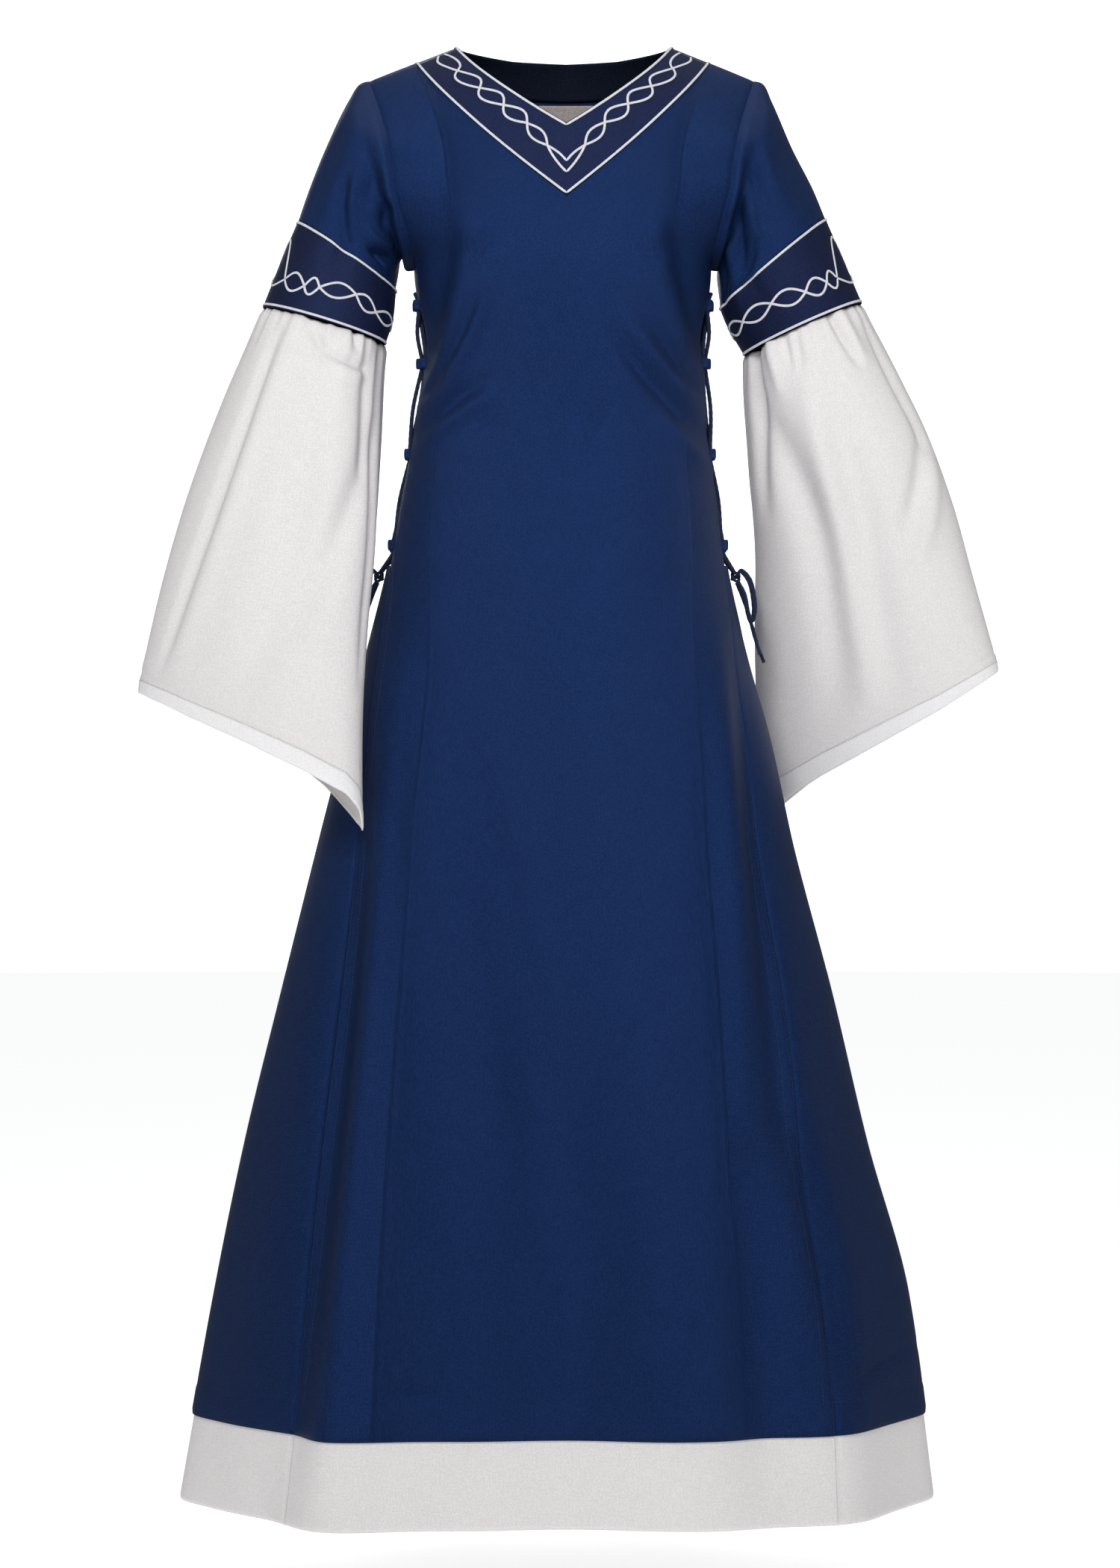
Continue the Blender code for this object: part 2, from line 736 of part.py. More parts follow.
def lace_strand(side, first_face, bulge, knot):
    """One end of the lace: down through the loops, from one edge of the slit to the other."""
    points = []
    face = first_face
    half_loop = Vector((0, 0, LOOP_HIGH * LOOP_REACH))
    for k, z in enumerate(LOOP_HEIGHTS):
        centre = loop_centre(side, face, z)
        points += [centre + half_loop, centre - half_loop]
        if k + 1 < len(LOOP_HEIGHTS):
            other = loop_centre(side, -face, LOOP_HEIGHTS[k + 1])
            points.append((centre + other) / 2 + Vector((side * bulge, 0, 0)))
        face = -face
    points.append(points[-1] + Vector((side * LACE_DROP_OUT, 0, -LACE_DROP)))
    out, across, up = KNOT_ENTRY
    points.append(knot + Vector((side * out, -face * across, up)))
    return points


def lacing(side, name):
    for k, z in enumerate(LOOP_HEIGHTS):
        lacing_loop(f"loop_{name}_front_{k + 1}", side, FRONT, z)
        lacing_loop(f"loop_{name}_back_{k + 1}", side, BACK, z)
    knot = knot_centre(side)
    down = lace_strand(side, FRONT, LACE_BULGE + LACE_CROSSING, knot)
    other = lace_strand(side, BACK, LACE_BULGE - LACE_CROSSING, knot)
    top = (down[0] + other[0]) / 2 + Vector((side * LACE_TOP_OUT, 0, LACE_TOP_RISE))
    lace_tube(f"lace_{name}", down[::-1] + [top] + other, LACE_POINTS)
    bow(side, name, knot)


def bow(side, name, knot):
    """The lace's ends tied at the hip: a small knot, two hanging loops and two free ends."""
    bpy.ops.mesh.primitive_uv_sphere_add(segments=10, ring_count=6, radius=1, location=knot)
    ball = bpy.context.active_object
    ball.name = f"lace_knot_{name}"
    ball.data.name = ball.name
    ball.scale = KNOT_RADII
    bpy.ops.object.transform_apply(location=False, rotation=False, scale=True)
    for owner in list(ball.users_collection):
        owner.objects.unlink(ball)
    gown.objects.link(ball)
    ball.data.materials.append(lace_blue)
    ball.data.shade_smooth()
    for face, label in ((FRONT, "front"), (BACK, "back")):
        loop = [knot + Vector((side * out, face * across, up)) for out, across, up in BOW_ROUTE]
        lace_tube(f"bow_loop_{name}_{label}", loop, BOW_POINTS)
        tail = TAIL_ROUTES[label]
        end = [knot + Vector((side * out, across, up)) for out, across, up in tail]
        lace_tube(f"lace_end_{name}_{label}", end, TAIL_POINTS)


for old in list(bpy.data.objects):
    bpy.data.objects.remove(old, do_unlink=True)
gown = bpy.data.collections.new("medieval_gown")
bpy.context.scene.collection.children.link(gown)
blue = make_material("blue_canvas", BLUE, 0.85)
navy = make_material("navy_band", NAVY, 0.85)
natural = make_material("natural_cotton", NATURAL, 0.9)
facing_navy = make_material("facing_navy", FACING_NAVY, 0.9)
label_grey = make_material("label_grey", LABEL_GREY, 0.7)
lace_blue = make_material("lace_blue", LACE_BLUE, 0.85)

front_rows, back_rows = body_panels()
hem_bands()
neck_pieces(front_rows, back_rows)
sleeves(front_rows, back_rows)
for gown_side, side_name in SIDE_NAMES.items():
    lacing(gown_side, side_name)
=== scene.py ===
"""A medieval gown, worn and hollow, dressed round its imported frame. Metres, +Z up, the front
faces -Y. Left and right are the wearer's: the right side is at -X, the left side at +X."""

import math
from collections import namedtuple

import bpy
import numpy as np
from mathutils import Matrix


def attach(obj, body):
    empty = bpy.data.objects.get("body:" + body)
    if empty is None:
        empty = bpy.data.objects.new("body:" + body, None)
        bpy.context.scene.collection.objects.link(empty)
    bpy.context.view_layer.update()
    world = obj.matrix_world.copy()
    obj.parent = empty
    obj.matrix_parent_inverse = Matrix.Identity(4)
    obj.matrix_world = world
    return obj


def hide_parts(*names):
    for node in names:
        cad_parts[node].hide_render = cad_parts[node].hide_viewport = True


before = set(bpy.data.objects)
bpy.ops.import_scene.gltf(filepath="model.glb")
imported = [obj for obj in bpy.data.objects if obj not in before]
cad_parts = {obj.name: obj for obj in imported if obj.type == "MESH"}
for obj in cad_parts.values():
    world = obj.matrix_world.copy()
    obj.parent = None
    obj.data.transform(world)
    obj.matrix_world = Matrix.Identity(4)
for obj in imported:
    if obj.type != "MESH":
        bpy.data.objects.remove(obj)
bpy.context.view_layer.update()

# The studio: a pale floor, a white surround, two soft boxes in front of the gown, one above and
# one behind it, and a weak sky. The camera stands level with the gown's middle.
PHOTO_HEIGHT_PIXELS = 2100
FOCAL_PIXELS = 5586
SENSOR_MM = 36.0
CAMERA_PLACE = (-0.0064, -4.2, -0.7414)
FLOOR_Z = -1.53
STUDIO_RADIUS = 14.0
SKY_COLOUR = (0.96, 0.98, 1.0, 1)
SKY_STRENGTH = 0.17
BEAM_SPREAD = math.radians(75)

scene = bpy.context.scene
scene.view_settings.view_transform = "Standard"
camera_data = bpy.data.cameras.new("camera")
camera_data.sensor_width = SENSOR_MM
camera_data.lens = FOCAL_PIXELS * SENSOR_MM / PHOTO_HEIGHT_PIXELS
camera = bpy.data.objects.new("camera", camera_data)
camera.location = CAMERA_PLACE
camera.rotation_euler = (math.radians(90), 0, 0)
scene.collection.objects.link(camera)
scene.camera = camera

world = bpy.data.worlds.new("sky")
world.use_nodes = True
sky = world.node_tree.nodes["Background"]
sky.inputs["Color"].default_value = SKY_COLOUR
sky.inputs["Strength"].default_value = SKY_STRENGTH
scene.world = world

SoftBox = namedtuple("SoftBox", "name place aim size power")
SOFT_BOXES = (
    SoftBox("key_light", (-0.7, -3.1, 1.5), (0, 0, -0.20), 1.2, 14),
    SoftBox("fill_light", (1.2, -3.3, 1.0), (0, 0, -0.35), 1.4, 5.6),
    SoftBox("top_light", (0.1, 0.3, 2.6), (0, 0, -0.6), 2.2, 5.6),
    SoftBox("back_light", (-0.6, 3.8, 0.8), (0, 0, -0.7), 2.2, 9),
)


def add_soft_box(box):
    data = bpy.data.lights.new(box.name, "AREA")
    data.size = box.size
    data.energy = box.power
    data.spread = BEAM_SPREAD
    lamp = bpy.data.objects.new(box.name, data)
    lamp.location = box.place
    towards = lamp.location.copy()
    towards.x, towards.y, towards.z = (a - b for a, b in zip(box.aim, box.place))
    lamp.rotation_euler = towards.to_track_quat("-Z", "Y").to_euler()
    scene.collection.objects.link(lamp)


for soft_box in SOFT_BOXES:
    add_soft_box(soft_box)


def plain_glow(name, colour, glow):
    """A matt studio surface that also gives off some light, so that it comes out white."""
    material = bpy.data.materials.new(name)
    material.use_nodes = True
    shader = material.node_tree.nodes["Principled BSDF"]
    shader.inputs["Base Color"].default_value = (*colour, 1)
    shader.inputs["Roughness"].default_value = 0.9
    shader.inputs["Specular IOR Level"].default_value = 0.0
    shader.inputs["Emission Color"].default_value = (1, 1, 1, 1)
    shader.inputs["Emission Strength"].default_value = glow
    return material


bpy.ops.mesh.primitive_circle_add(
    vertices=96, radius=STUDIO_RADIUS * 0.96, fill_type="NGON", location=(0, 0, FLOOR_Z)
)
floor = bpy.context.active_object
floor.name = "floor"
floor.data.materials.append(plain_glow("pale_floor", (0.93, 0.93, 0.93), 0.80))
bpy.ops.mesh.primitive_uv_sphere_add(segments=48, ring_count=24, radius=STUDIO_RADIUS)
surround = bpy.context.active_object
surround.name = "surround"
surround.data.materials.append(plain_glow("white_surround", (1, 1, 1), 1.0))
surround.visible_diffuse = False
surround.visible_glossy = False
surround.visible_shadow = False
floor.visible_glossy = False

# The blue body: a front and a back panel of plain-woven cotton canvas, shaped over the bust
# and the waist, laced at both sides and flared into the skirt. Both hang from the shoulders.
NECK_HALF = 0.1055
BAND_OUTER_HALF = 0.1455
NECK_V_DEPTH = 0.0894
BAND_V_DEPTH = 0.1623
BACK_NECK_DROP = 0.004
BACK_BAND_DEPTH = 0.043
SHOULDER_SLOPE = 0.391
SHOULDER_ROUNDING = 0.09
UNDERARM_Z = -0.224
GORE_TOP_Z = -0.523
HEM_STITCH_Z = -1.337
BLUE_HEM_Z = -1.368
HEM_Z = -1.452
SECTION_POWER = 2.2
RIGHT_SCALE = 1.025
LEFT_SCALE = 0.975
SEAM_GAP = 0.0003
CLOTH_OUT = 0.0014
CLOTH_THICK = 0.0009
SIDE_NAMES = {-1: "right", 1: "left"}
FACE_NAMES = {-1: "front", 1: "back"}
TINY = 1e-9


def chart(columns, *rows):
    """Named columns of a table whose rows run downwards, turned to run upwards."""
    values = np.array(rows[::-1], float)
    return {name: values[:, i] for i, name in enumerate(columns.split())}


def read(table, column, at, key="z"):
    """The column's values at these heights, on a smooth curve that never overshoots its rows."""
    x, y = table[key], table[column]
    step, rise = np.diff(x), np.diff(y)
    slope = rise / step
    both = slope[:-1] * slope[1:]
    sums = slope[:-1] + slope[1:]
    inner = np.where(both > 0, 2 * both / np.where(both > 0, sums, 1), 0)
    ends = np.concatenate([slope[:1], inner, slope[-1:]])
    i = np.clip(np.searchsorted(x, at) - 1, 0, len(x) - 2)
    t = np.clip((at - x[i]) / step[i], 0, 1)
    a = ends[i] * step[i] - rise[i]
    b = rise[i] - ends[i + 1] * step[i]
    return y[i] + t * rise[i] + t * (1 - t) * (a * (1 - t) + b * t)


BODY = chart(
    "z right left front back",
    (0.050, 0.152, 0.144, 0.060, 0.078),
    (-0.050, 0.152, 0.144, 0.080, 0.090),
    (-0.100, 0.152, 0.144, 0.091, 0.094),
    (-0.160, 0.152, 0.144, 0.105, 0.095),
    (-0.224, 0.152, 0.1445, 0.113, 0.092),
    (-0.300, 0.1445, 0.1392, 0.108, 0.085),
    (-0.380, 0.152, 0.141, 0.102, 0.081),
    (-0.456, 0.166, 0.151, 0.111, 0.091),
    (-0.523, 0.179, 0.161, 0.122, 0.108),
    (-0.600, 0.198, 0.178, 0.134, 0.124),
    (-0.700, 0.223, 0.205, 0.149, 0.141),
    (-0.800, 0.2485, 0.2265, 0.163, 0.156),
    (-0.950, 0.2845, 0.2645, 0.183, 0.176),
    (-1.100, 0.319, 0.298, 0.202, 0.195),
    (-1.250, 0.347, 0.337, 0.221, 0.214),
    (-1.452, 0.379, 0.361, 0.245, 0.236),
)
ARMHOLE = chart(
    "z reach",
    (-0.030, 0.1960),
    (-0.076, 0.1805),
    (-0.118, 0.1707),
    (-0.155, 0.1653),
    (-0.188, 0.1560),
    (-0.2105, 0.1504),
    (-0.224, 0.1482),
)
PANEL_EDGE = chart(
    "z turn",
    (-0.030, 25.0),
    (-0.076, 36.7),
    (-0.118, 46.0),
    (-0.155, 45.5),
    (-0.188, 34.5),
    (-0.2105, 20.0),
    (-0.224, 0.06),
    (-0.245, 0.06),
    (-0.254, 4.8),
    (-0.300, 5.0),
    (-0.400, 6.2),
    (-0.450, 8.0),
    (-0.523, 12.4),
    (-0.545, 17.0),
    (-0.590, 22.0),
    (-0.644, 26.5),
    (-0.750, 32.0),
    (-0.900, 38.0),
    (-1.100, 43.0),
    (-1.452, 48.0),
)

# Places round the body are in degrees: 0 the front's middle, 90 the left side, 180 the back's
Fold = namedtuple("Fold", "place depth width start")
FOLDS = (
    Fold(-33, 0.038, 10, -0.62),
    Fold(0, -0.018, 10, -0.70),
    Fold(22, 0.008, 8, -0.80),
    Fold(45, 0.021, 11, -0.62),
    Fold(82, 0.010, 9, -0.80),
    Fold(-80, 0.012, 9, -0.80),
    Fold(122, 0.022, 11, -0.75),
    Fold(150, -0.016, 9, -0.75),
    Fold(172, 0.026, 10, -0.65),
    Fold(-118, 0.018, 10, -0.75),
    Fold(-142, -0.014, 9, -0.80),
    Fold(-163, 0.024, 9, -0.65),
)

# Creases across the cloth: from one point to another on a face (-1 front, 1 back), how wide,
# how far out (or in, where negative), and how far their middle bows sideways
Crease = namedtuple("Crease", "face x0 z0 x1 z1 width depth bow")
CREASES = (
    Crease(-1, -0.118, -0.150, -0.150, -0.360, 0.013, -0.0083, 0.006),
    Crease(-1, -0.086, -0.165, -0.128, -0.350, 0.015, 0.0057, 0.004),
    Crease(-1, 0.106, -0.150, 0.147, -0.340, 0.013, -0.0083, -0.006),
    Crease(-1, 0.078, -0.165, 0.122, -0.330, 0.015, 0.0057, -0.004),
    Crease(-1, -0.066, -0.215, -0.142, -0.388, 0.007, 0.0048, 0.010),
    Crease(-1, -0.085, -0.255, -0.148, -0.362, 0.005, -0.0042, 0.006),
    Crease(-1, -0.148, -0.396, -0.070, -0.338, 0.007, -0.0045, 0.004),
    Crease(-1, -0.148, -0.408, -0.060, -0.352, 0.008, 0.0042, 0.004),
    Crease(-1, 0.146, -0.400, 0.040, -0.288, 0.008, -0.0054, 0.008),
    Crease(-1, 0.145, -0.378, 0.055, -0.272, 0.008, 0.0045, 0.008),
    Crease(-1, 0.142, -0.352, 0.084, -0.285, 0.006, -0.0045, 0.005),
    Crease(-1, 0.150, -0.430, 0.090, -0.372, 0.008, 0.0039, 0.005),
    Crease(-1, 0.016, -0.425, 0.038, -0.362, 0.006, -0.0027, 0.002),
    Crease(-1, -0.090, -0.385, -0.020, -0.425, 0.010, -0.0027, 0.005),
    Crease(-1, -0.110, -0.575, -0.045, -0.558, 0.012, -0.0030, 0.003),
    Crease(-1, -0.172, -0.600, -0.224, -1.440, 0.015, 0.0090, 0.006),
    Crease(-1, -0.196, -0.680, -0.262, -1.450, 0.018, -0.0120, 0.006),
    Crease(-1, -0.150, -0.560, -0.005, -1.150, 0.026, -0.0093, 0.012),
    Crease(-1, -0.150, -0.720, -0.050, -1.200, 0.024, 0.0060, 0.010),
    Crease(-1, 0.146, -0.540, 0.174, -1.100, 0.015, 0.0075, 0.000),
    Crease(-1, 0.165, -0.580, 0.207, -1.150, 0.013, -0.0090, 0.004),
    Crease(-1, 0.200, -1.020, 0.264, -1.370, 0.015, -0.0112, 0.010),
    Crease(-1, 0.165, -1.080, 0.195, -1.460, 0.024, -0.0075, 0.000),
    Crease(-1, 0.060, -0.900, 0.090, -1.440, 0.040, 0.0067, 0.000),
    Crease(-1, 0.262, -1.328, 0.345, -1.300, 0.006, -0.0042, 0.003),
    Crease(-1, -0.175, -1.322, -0.110, -1.330, 0.007, -0.0024, 0.002),
    Crease(1, -0.100, -0.120, -0.060, -0.330, 0.016, -0.0051, 0.010),
    Crease(1, 0.100, -0.110, 0.055, -0.320, 0.018, -0.0048, -0.008),
    Crease(1, -0.145, -0.340, 0.020, -0.318, 0.010, 0.0039, -0.008),
    Crease(1, 0.143, -0.362, -0.030, -0.352, 0.010, 0.0039, 0.007),
    Crease(1, -0.140, -0.395, 0.060, -0.402, 0.012, -0.0039, 0.006),
    Crease(1, 0.050, -0.560, 0.090, -0.940, 0.022, 0.0075, 0.010),
    Crease(1, -0.070, -0.570, -0.100, -1.000, 0.024, -0.0075, 0.010),
    Crease(1, 0.140, -0.620, 0.215, -1.300, 0.020, -0.0090, 0.006),
    Crease(1, -0.150, -0.640, -0.225, -1.320, 0.018, 0.0083, 0.006),
)


def bell(distance, width):
    """1 in the middle of a crease or a row of stitches, and next to nothing two widths away."""
    return np.exp(-((distance / width) ** 2))


def unit(vectors):
    return vectors / np.maximum(np.linalg.norm(vectors, axis=-1, keepdims=True), 1e-12)


def shoulder_line(reach):
    """The height of the shoulder seam at this distance from the middle."""
    return -SHOULDER_SLOPE * (reach - NECK_HALF)


def neck_line(face, reach):
    share = np.maximum(0, 1 - reach / NECK_HALF)
    if face < 0:
        return -NECK_V_DEPTH * share**0.70
    return -BACK_NECK_DROP * np.minimum(1, 2 * share)


def band_line(face, reach):
    start = shoulder_line(BAND_OUTER_HALF)
    share = np.maximum(0, 1 - reach / BAND_OUTER_HALF)
    if face < 0:
        return start - (BAND_V_DEPTH + start) * share**0.78
    return start - (BACK_BAND_DEPTH + start) * (1 - (1 - share) ** 2) ** 0.8


def half_width(side, z):
    """Half the body's width: above the underarm, that of an oval through the armhole's edge."""
    lower = np.where(side < 0, read(BODY, "right", z), read(BODY, "left", z))
    bend = np.cos(np.radians(read(PANEL_EDGE, "turn", z))) ** (2 / SECTION_POWER)
    scale = np.where(side < 0, RIGHT_SCALE, LEFT_SCALE)
    return np.where(z <= UNDERARM_Z, lower, scale * read(ARMHOLE, "reach", z) / bend)


def crease_push(across, down, creases):
    """How far the creases move the cloth out at these places, which are in metres."""
    total = np.zeros(np.broadcast(across, down).shape)
    for crease in creases:
        run_x, run_z = crease.x1 - crease.x0, crease.z1 - crease.z0
        length = math.hypot(run_x, run_z)
        along = ((across - crease.x0) * run_x + (down - crease.z0) * run_z) / length**2
        away = ((across - crease.x0) * run_z - (down - crease.z0) * run_x) / length
        middle = np.clip(1 - (2 * along - 1) ** 2, 0, None)
        away = away + crease.bow * middle
        total = total + crease.depth * middle * bell(away, crease.width)
    return total


def fold_push(place, z):
    """How far the skirt's long folds move the cloth out. They grow towards the hem."""
    total = np.zeros(np.broadcast(place, z).shape)
    for fold in FOLDS:
        away = (place - fold.place + 180) % 360 - 180
        grown = np.clip((fold.start - z) / (fold.start - HEM_Z), 0, None) ** 1.2
        total = total + fold.depth * grown * bell(away, fold.width)
    return total


def body(place, z, out=CLOTH_OUT):
    """Points on the worn gown, from the degrees round it, the height, and how far out."""
    place, z, out = np.broadcast_arrays(*(np.asarray(v, float) for v in (place, z, out)))
    side = np.where(place < 0, -1.0, 1.0)
    face = np.where(np.abs(place) <= 90, -1.0, 1.0)
    turn = np.radians(np.abs(np.abs(place) - 90))
    half = half_width(side, z)
    depth = np.where(face < 0, read(BODY, "front", z), read(BODY, "back", z))
    x = side * half * np.clip(np.cos(turn), 0, None) ** (2 / SECTION_POWER)
    deep = np.sin(turn) ** (2 / SECTION_POWER)
    below = shoulder_line(np.abs(x) / np.where(side < 0, RIGHT_SCALE, LEFT_SCALE)) - z
    rounding = np.clip(below / SHOULDER_ROUNDING, 0, 1)
    over = np.where(z > UNDERARM_Z, np.sqrt(1 - (1 - rounding) ** 2), 1)
    y = face * (depth * over * deep + SEAM_GAP / 2)
    push = out + fold_push(place, z)
    for side_of_body in (-1, 1):
        creases = [crease for crease in CREASES if crease.face == side_of_body]
        push = push + np.where(face == side_of_body, crease_push(x, z, creases), 0)
    normal = unit(np.stack([x / half**2, y / depth**2], axis=-1))
    return np.stack([x + normal[..., 0] * push, y + normal[..., 1] * push, z], axis=-1)


def place_at(face, x, z):
    """Degrees round the body of the point this far across."""
    half = half_width(np.where(x < 0, -1, 1), z)
    turn = np.degrees(np.arccos(np.clip(np.abs(x) / half, 0, 1) ** (SECTION_POWER / 2)))
    return np.where(x < 0, -1, 1) * (90 + face * turn)


def normals_of(grid, closed=False):
    """Outward directions on a grid of points whose rows run downwards, the wearer's right first."""
    if closed:
        across = np.roll(grid, -1, axis=1) - np.roll(grid, 1, axis=1)
    else:
        across = np.gradient(grid, axis=1)
    down = np.gradient(grid, axis=0)
    return unit(np.cross(down, across))


def closed_round(values):
    """Rows that end with their first value again."""
    return np.concatenate([values, values[:, :1]], axis=1)


def grid_faces(number, along, across, turned=False):
    """The faces of a grid of point numbers, and the two thread lengths at each corner."""
    corners = [np.s_[:-1, :-1], np.s_[1:, :-1], np.s_[1:, 1:], np.s_[:-1, 1:]]
    if turned:
        corners = corners[:1] + corners[:0:-1]
    faces = np.stack([number[c].ravel() for c in corners], axis=1)
    lengths = [np.stack([along[c].ravel(), across[c].ravel()], axis=1) for c in corners]
    return faces.tolist(), np.stack(lengths, axis=1)


def thread_mesh(name, points, faces, lengths, material):
    """A smooth piece whose UV map holds the lengths along its threads."""
    mesh = bpy.data.meshes.new(name)
    mesh.from_pydata(points, [], faces)
    mesh.uv_layers.new(name="Threads").data.foreach_set("uv", np.asarray(lengths).ravel())
    mesh.materials.append(material)
    mesh.shade_smooth()
    piece = bpy.data.objects.new(name, mesh)
    scene.collection.objects.link(piece)
    return piece


def cloth(name, grid, material, closed=False, thick=CLOTH_THICK):
    """A thin shell over a grid of points, its threads running along the rows and columns."""
    rows, columns = grid.shape[:2]
    number = np.arange(rows * columns).reshape(rows, columns)
    grid_round = grid
    if closed:
        number, grid_round = closed_round(number), closed_round(grid)
    across = np.linalg.norm(np.diff(grid_round, axis=1), axis=-1).cumsum(axis=1)
    across = np.concatenate([np.zeros((rows, 1)), across], axis=1)
    across -= across[:, across.shape[1] // 2][:, None]
    down = np.linalg.norm(np.diff(grid_round, axis=0), axis=-1).cumsum(axis=0)
    down = np.concatenate([np.zeros((1, across.shape[1])), down], axis=0)
    faces, lengths = grid_faces(number, across, down)
    piece = thread_mesh(name, grid.reshape(-1, 3).tolist(), faces, lengths, material)
    wall = piece.modifiers.new("Wall", "SOLIDIFY")
    wall.thickness = thick
    wall.offset = -1.0
    return piece


def dress(piece, slot, *nodes):
    """The piece moves with the gown, and stands for these nodes of the frame."""
    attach(piece, "root")
    if nodes:
        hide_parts(*nodes)
    return piece


def thread_group(name, inputs):
    """A node group with a Place and these inputs, which puts out a colour and a height."""
    group = bpy.data.node_groups.new(name, "ShaderNodeTree")
    sockets = group.interface
    sockets.new_socket(name="Place", in_out="INPUT", socket_type="NodeSocketVector")
    for label, value in inputs.items():
        kind = "NodeSocketFloat" if isinstance(value, float) else "NodeSocketColor"
        sockets.new_socket(name=label, in_out="INPUT", socket_type=kind).default_value = value
    sockets.new_socket(name="Colour", in_out="OUTPUT", socket_type="NodeSocketColor")
    sockets.new_socket(name="Height", in_out="OUTPUT", socket_type="NodeSocketFloat")
    return group, group.nodes.new("NodeGroupInput"), group.nodes.new("NodeGroupOutput")


def math_node(tree, operation, first, second=None):
    """A Math node fed by sockets or plain numbers. Returns its output."""
    node = tree.nodes.new("ShaderNodeMath")
    node.operation = operation
    for socket, value in zip(node.inputs, (first, second)):
        if value is None:
            continue
        if isinstance(value, (int, float)):
            socket.default_value = value
        else:
            tree.links.new(value, socket)
    return node.outputs[0]


def streak_noise(tree, place, stretch, detail=2.0):
    """Noise drawn out along one thread direction. Returns its value."""
    scale = tree.nodes.new("ShaderNodeVectorMath")
    scale.operation = "MULTIPLY"
    tree.links.new(place, scale.inputs[0])
    scale.inputs[1].default_value = stretch
    noise = tree.nodes.new("ShaderNodeTexNoise")
    noise.noise_dimensions = "2D"
    noise.inputs["Scale"].default_value = 1.0
    noise.inputs["Detail"].default_value = detail
    tree.links.new(scale.outputs[0], noise.inputs["Vector"])
    return noise.outputs["Fac"]


def ranged(tree, value, low, high, to_low=0.0, to_high=1.0):
    """The value moved from one range to another, and held inside it."""
    node = tree.nodes.new("ShaderNodeMapRange")
    for socket, number in zip(list(node.inputs)[1:5], (low, high, to_low, to_high)):
        socket.default_value = number
    tree.links.new(value, node.inputs["Value"])
    return node.outputs[0]


def mixed_colour(tree, share, first, second):
    node = tree.nodes.new("ShaderNodeMix")
    node.data_type = "RGBA"
    for label, source in (("Factor", share), ("A", first), ("B", second)):
        tree.links.new(source, node.inputs[label])
    return node.outputs["Result"]


WEAVE_DEPTH = 0.0003

# Plain weave: warp and weft of uneven thickness, with slubs along both. Place is in metres.
weave, weave_in, weave_out = thread_group(
    "plain_weave",
    {
        "Threads per metre": 1500.0,
        "Thread colour": (0.5, 0.5, 0.5, 1),
        "Fleck colour": (0.6, 0.6, 0.6, 1),
    },
)
warp_slub = streak_noise(weave, weave_in.outputs["Place"], (900, 70, 0))
weft_slub = streak_noise(weave, weave_in.outputs["Place"], (70, 900, 0))
grain = streak_noise(weave, weave_in.outputs["Place"], (620, 620, 0), 1.0)
mottle = streak_noise(weave, weave_in.outputs["Place"], (22, 14, 0), 3.0)
apart = weave.nodes.new("ShaderNodeSeparateXYZ")
weave.links.new(weave_in.outputs["Place"], apart.inputs[0])
half_turns = math_node(weave, "MULTIPLY", weave_in.outputs["Threads per metre"], math.pi)
warp = math_node(weave, "SINE", math_node(weave, "MULTIPLY", apart.outputs[0], half_turns))
weft = math_node(weave, "SINE", math_node(weave, "MULTIPLY", apart.outputs[1], half_turns))
crossing = math_node(weave, "MULTIPLY", warp, weft)
slubs = math_node(weave, "ADD", warp_slub, weft_slub)
uneven = math_node(weave, "ADD", math_node(weave, "MULTIPLY", slubs, 0.42), grain)
fleck = ranged(weave, uneven, 0.78, 1.10)
cloud = ranged(weave, mottle, 0.3, 0.7, -0.07, 0.07)
woven_colour = mixed_colour(
    weave,
    math_node(weave, "ADD", fleck, cloud),
    weave_in.outputs["Thread colour"],
    weave_in.outputs["Fleck colour"],
)
weave.links.new(woven_colour, weave_out.inputs["Colour"])
raised = math_node(weave, "ADD", math_node(weave, "MULTIPLY", crossing, 0.5), uneven)
weave.links.new(raised, weave_out.inputs["Height"])


def threaded(name, group, values, bump, depth, roughness, gloss):
    """A material whose threads follow the piece's own UV map. Returns it and its shader."""
    material = bpy.data.materials.new(name)
    material.use_nodes = True
    tree = material.node_tree
    shader = tree.nodes["Principled BSDF"]
    shader.inputs["Roughness"].default_value = roughness
    shader.inputs["Specular IOR Level"].default_value = gloss
    place = tree.nodes.new("ShaderNodeUVMap")
    place.uv_map = "Threads"
    threads = tree.nodes.new("ShaderNodeGroup")
    threads.node_tree = group
    for label, value in values.items():
        threads.inputs[label].default_value = value
    relief = tree.nodes.new("ShaderNodeBump")
    relief.inputs["Strength"].default_value = bump
    relief.inputs["Distance"].default_value = depth
    tree.links.new(place.outputs[0], threads.inputs["Place"])
    tree.links.new(threads.outputs["Colour"], shader.inputs["Base Color"])
    tree.links.new(threads.outputs["Height"], relief.inputs["Height"])
    tree.links.new(relief.outputs[0], shader.inputs["Normal"])
    return material, shader


def woven(name, colour, fleck_colour, threads, bump, roughness=0.88, gloss=0.1):
    """A woven cloth. Its gloss takes the cloth's own colour, so that dark cloth doesn't grey."""
    values = {
        "Threads per metre": threads,
        "Thread colour": (*colour, 1),
        "Fleck colour": (*fleck_colour, 1),
    }
    material, shader = threaded(name, weave, values, bump, WEAVE_DEPTH, roughness, gloss)
    tint = (channel / max(colour) for channel in colour)
    shader.inputs["Specular Tint"].default_value = (*tint, 1)
    return material


blue_canvas = woven(
    "blue_canvas", (0.0044, 0.0120, 0.044), (0.0085, 0.0215, 0.072), 1700, 0.6, 0.52, 0.6
)

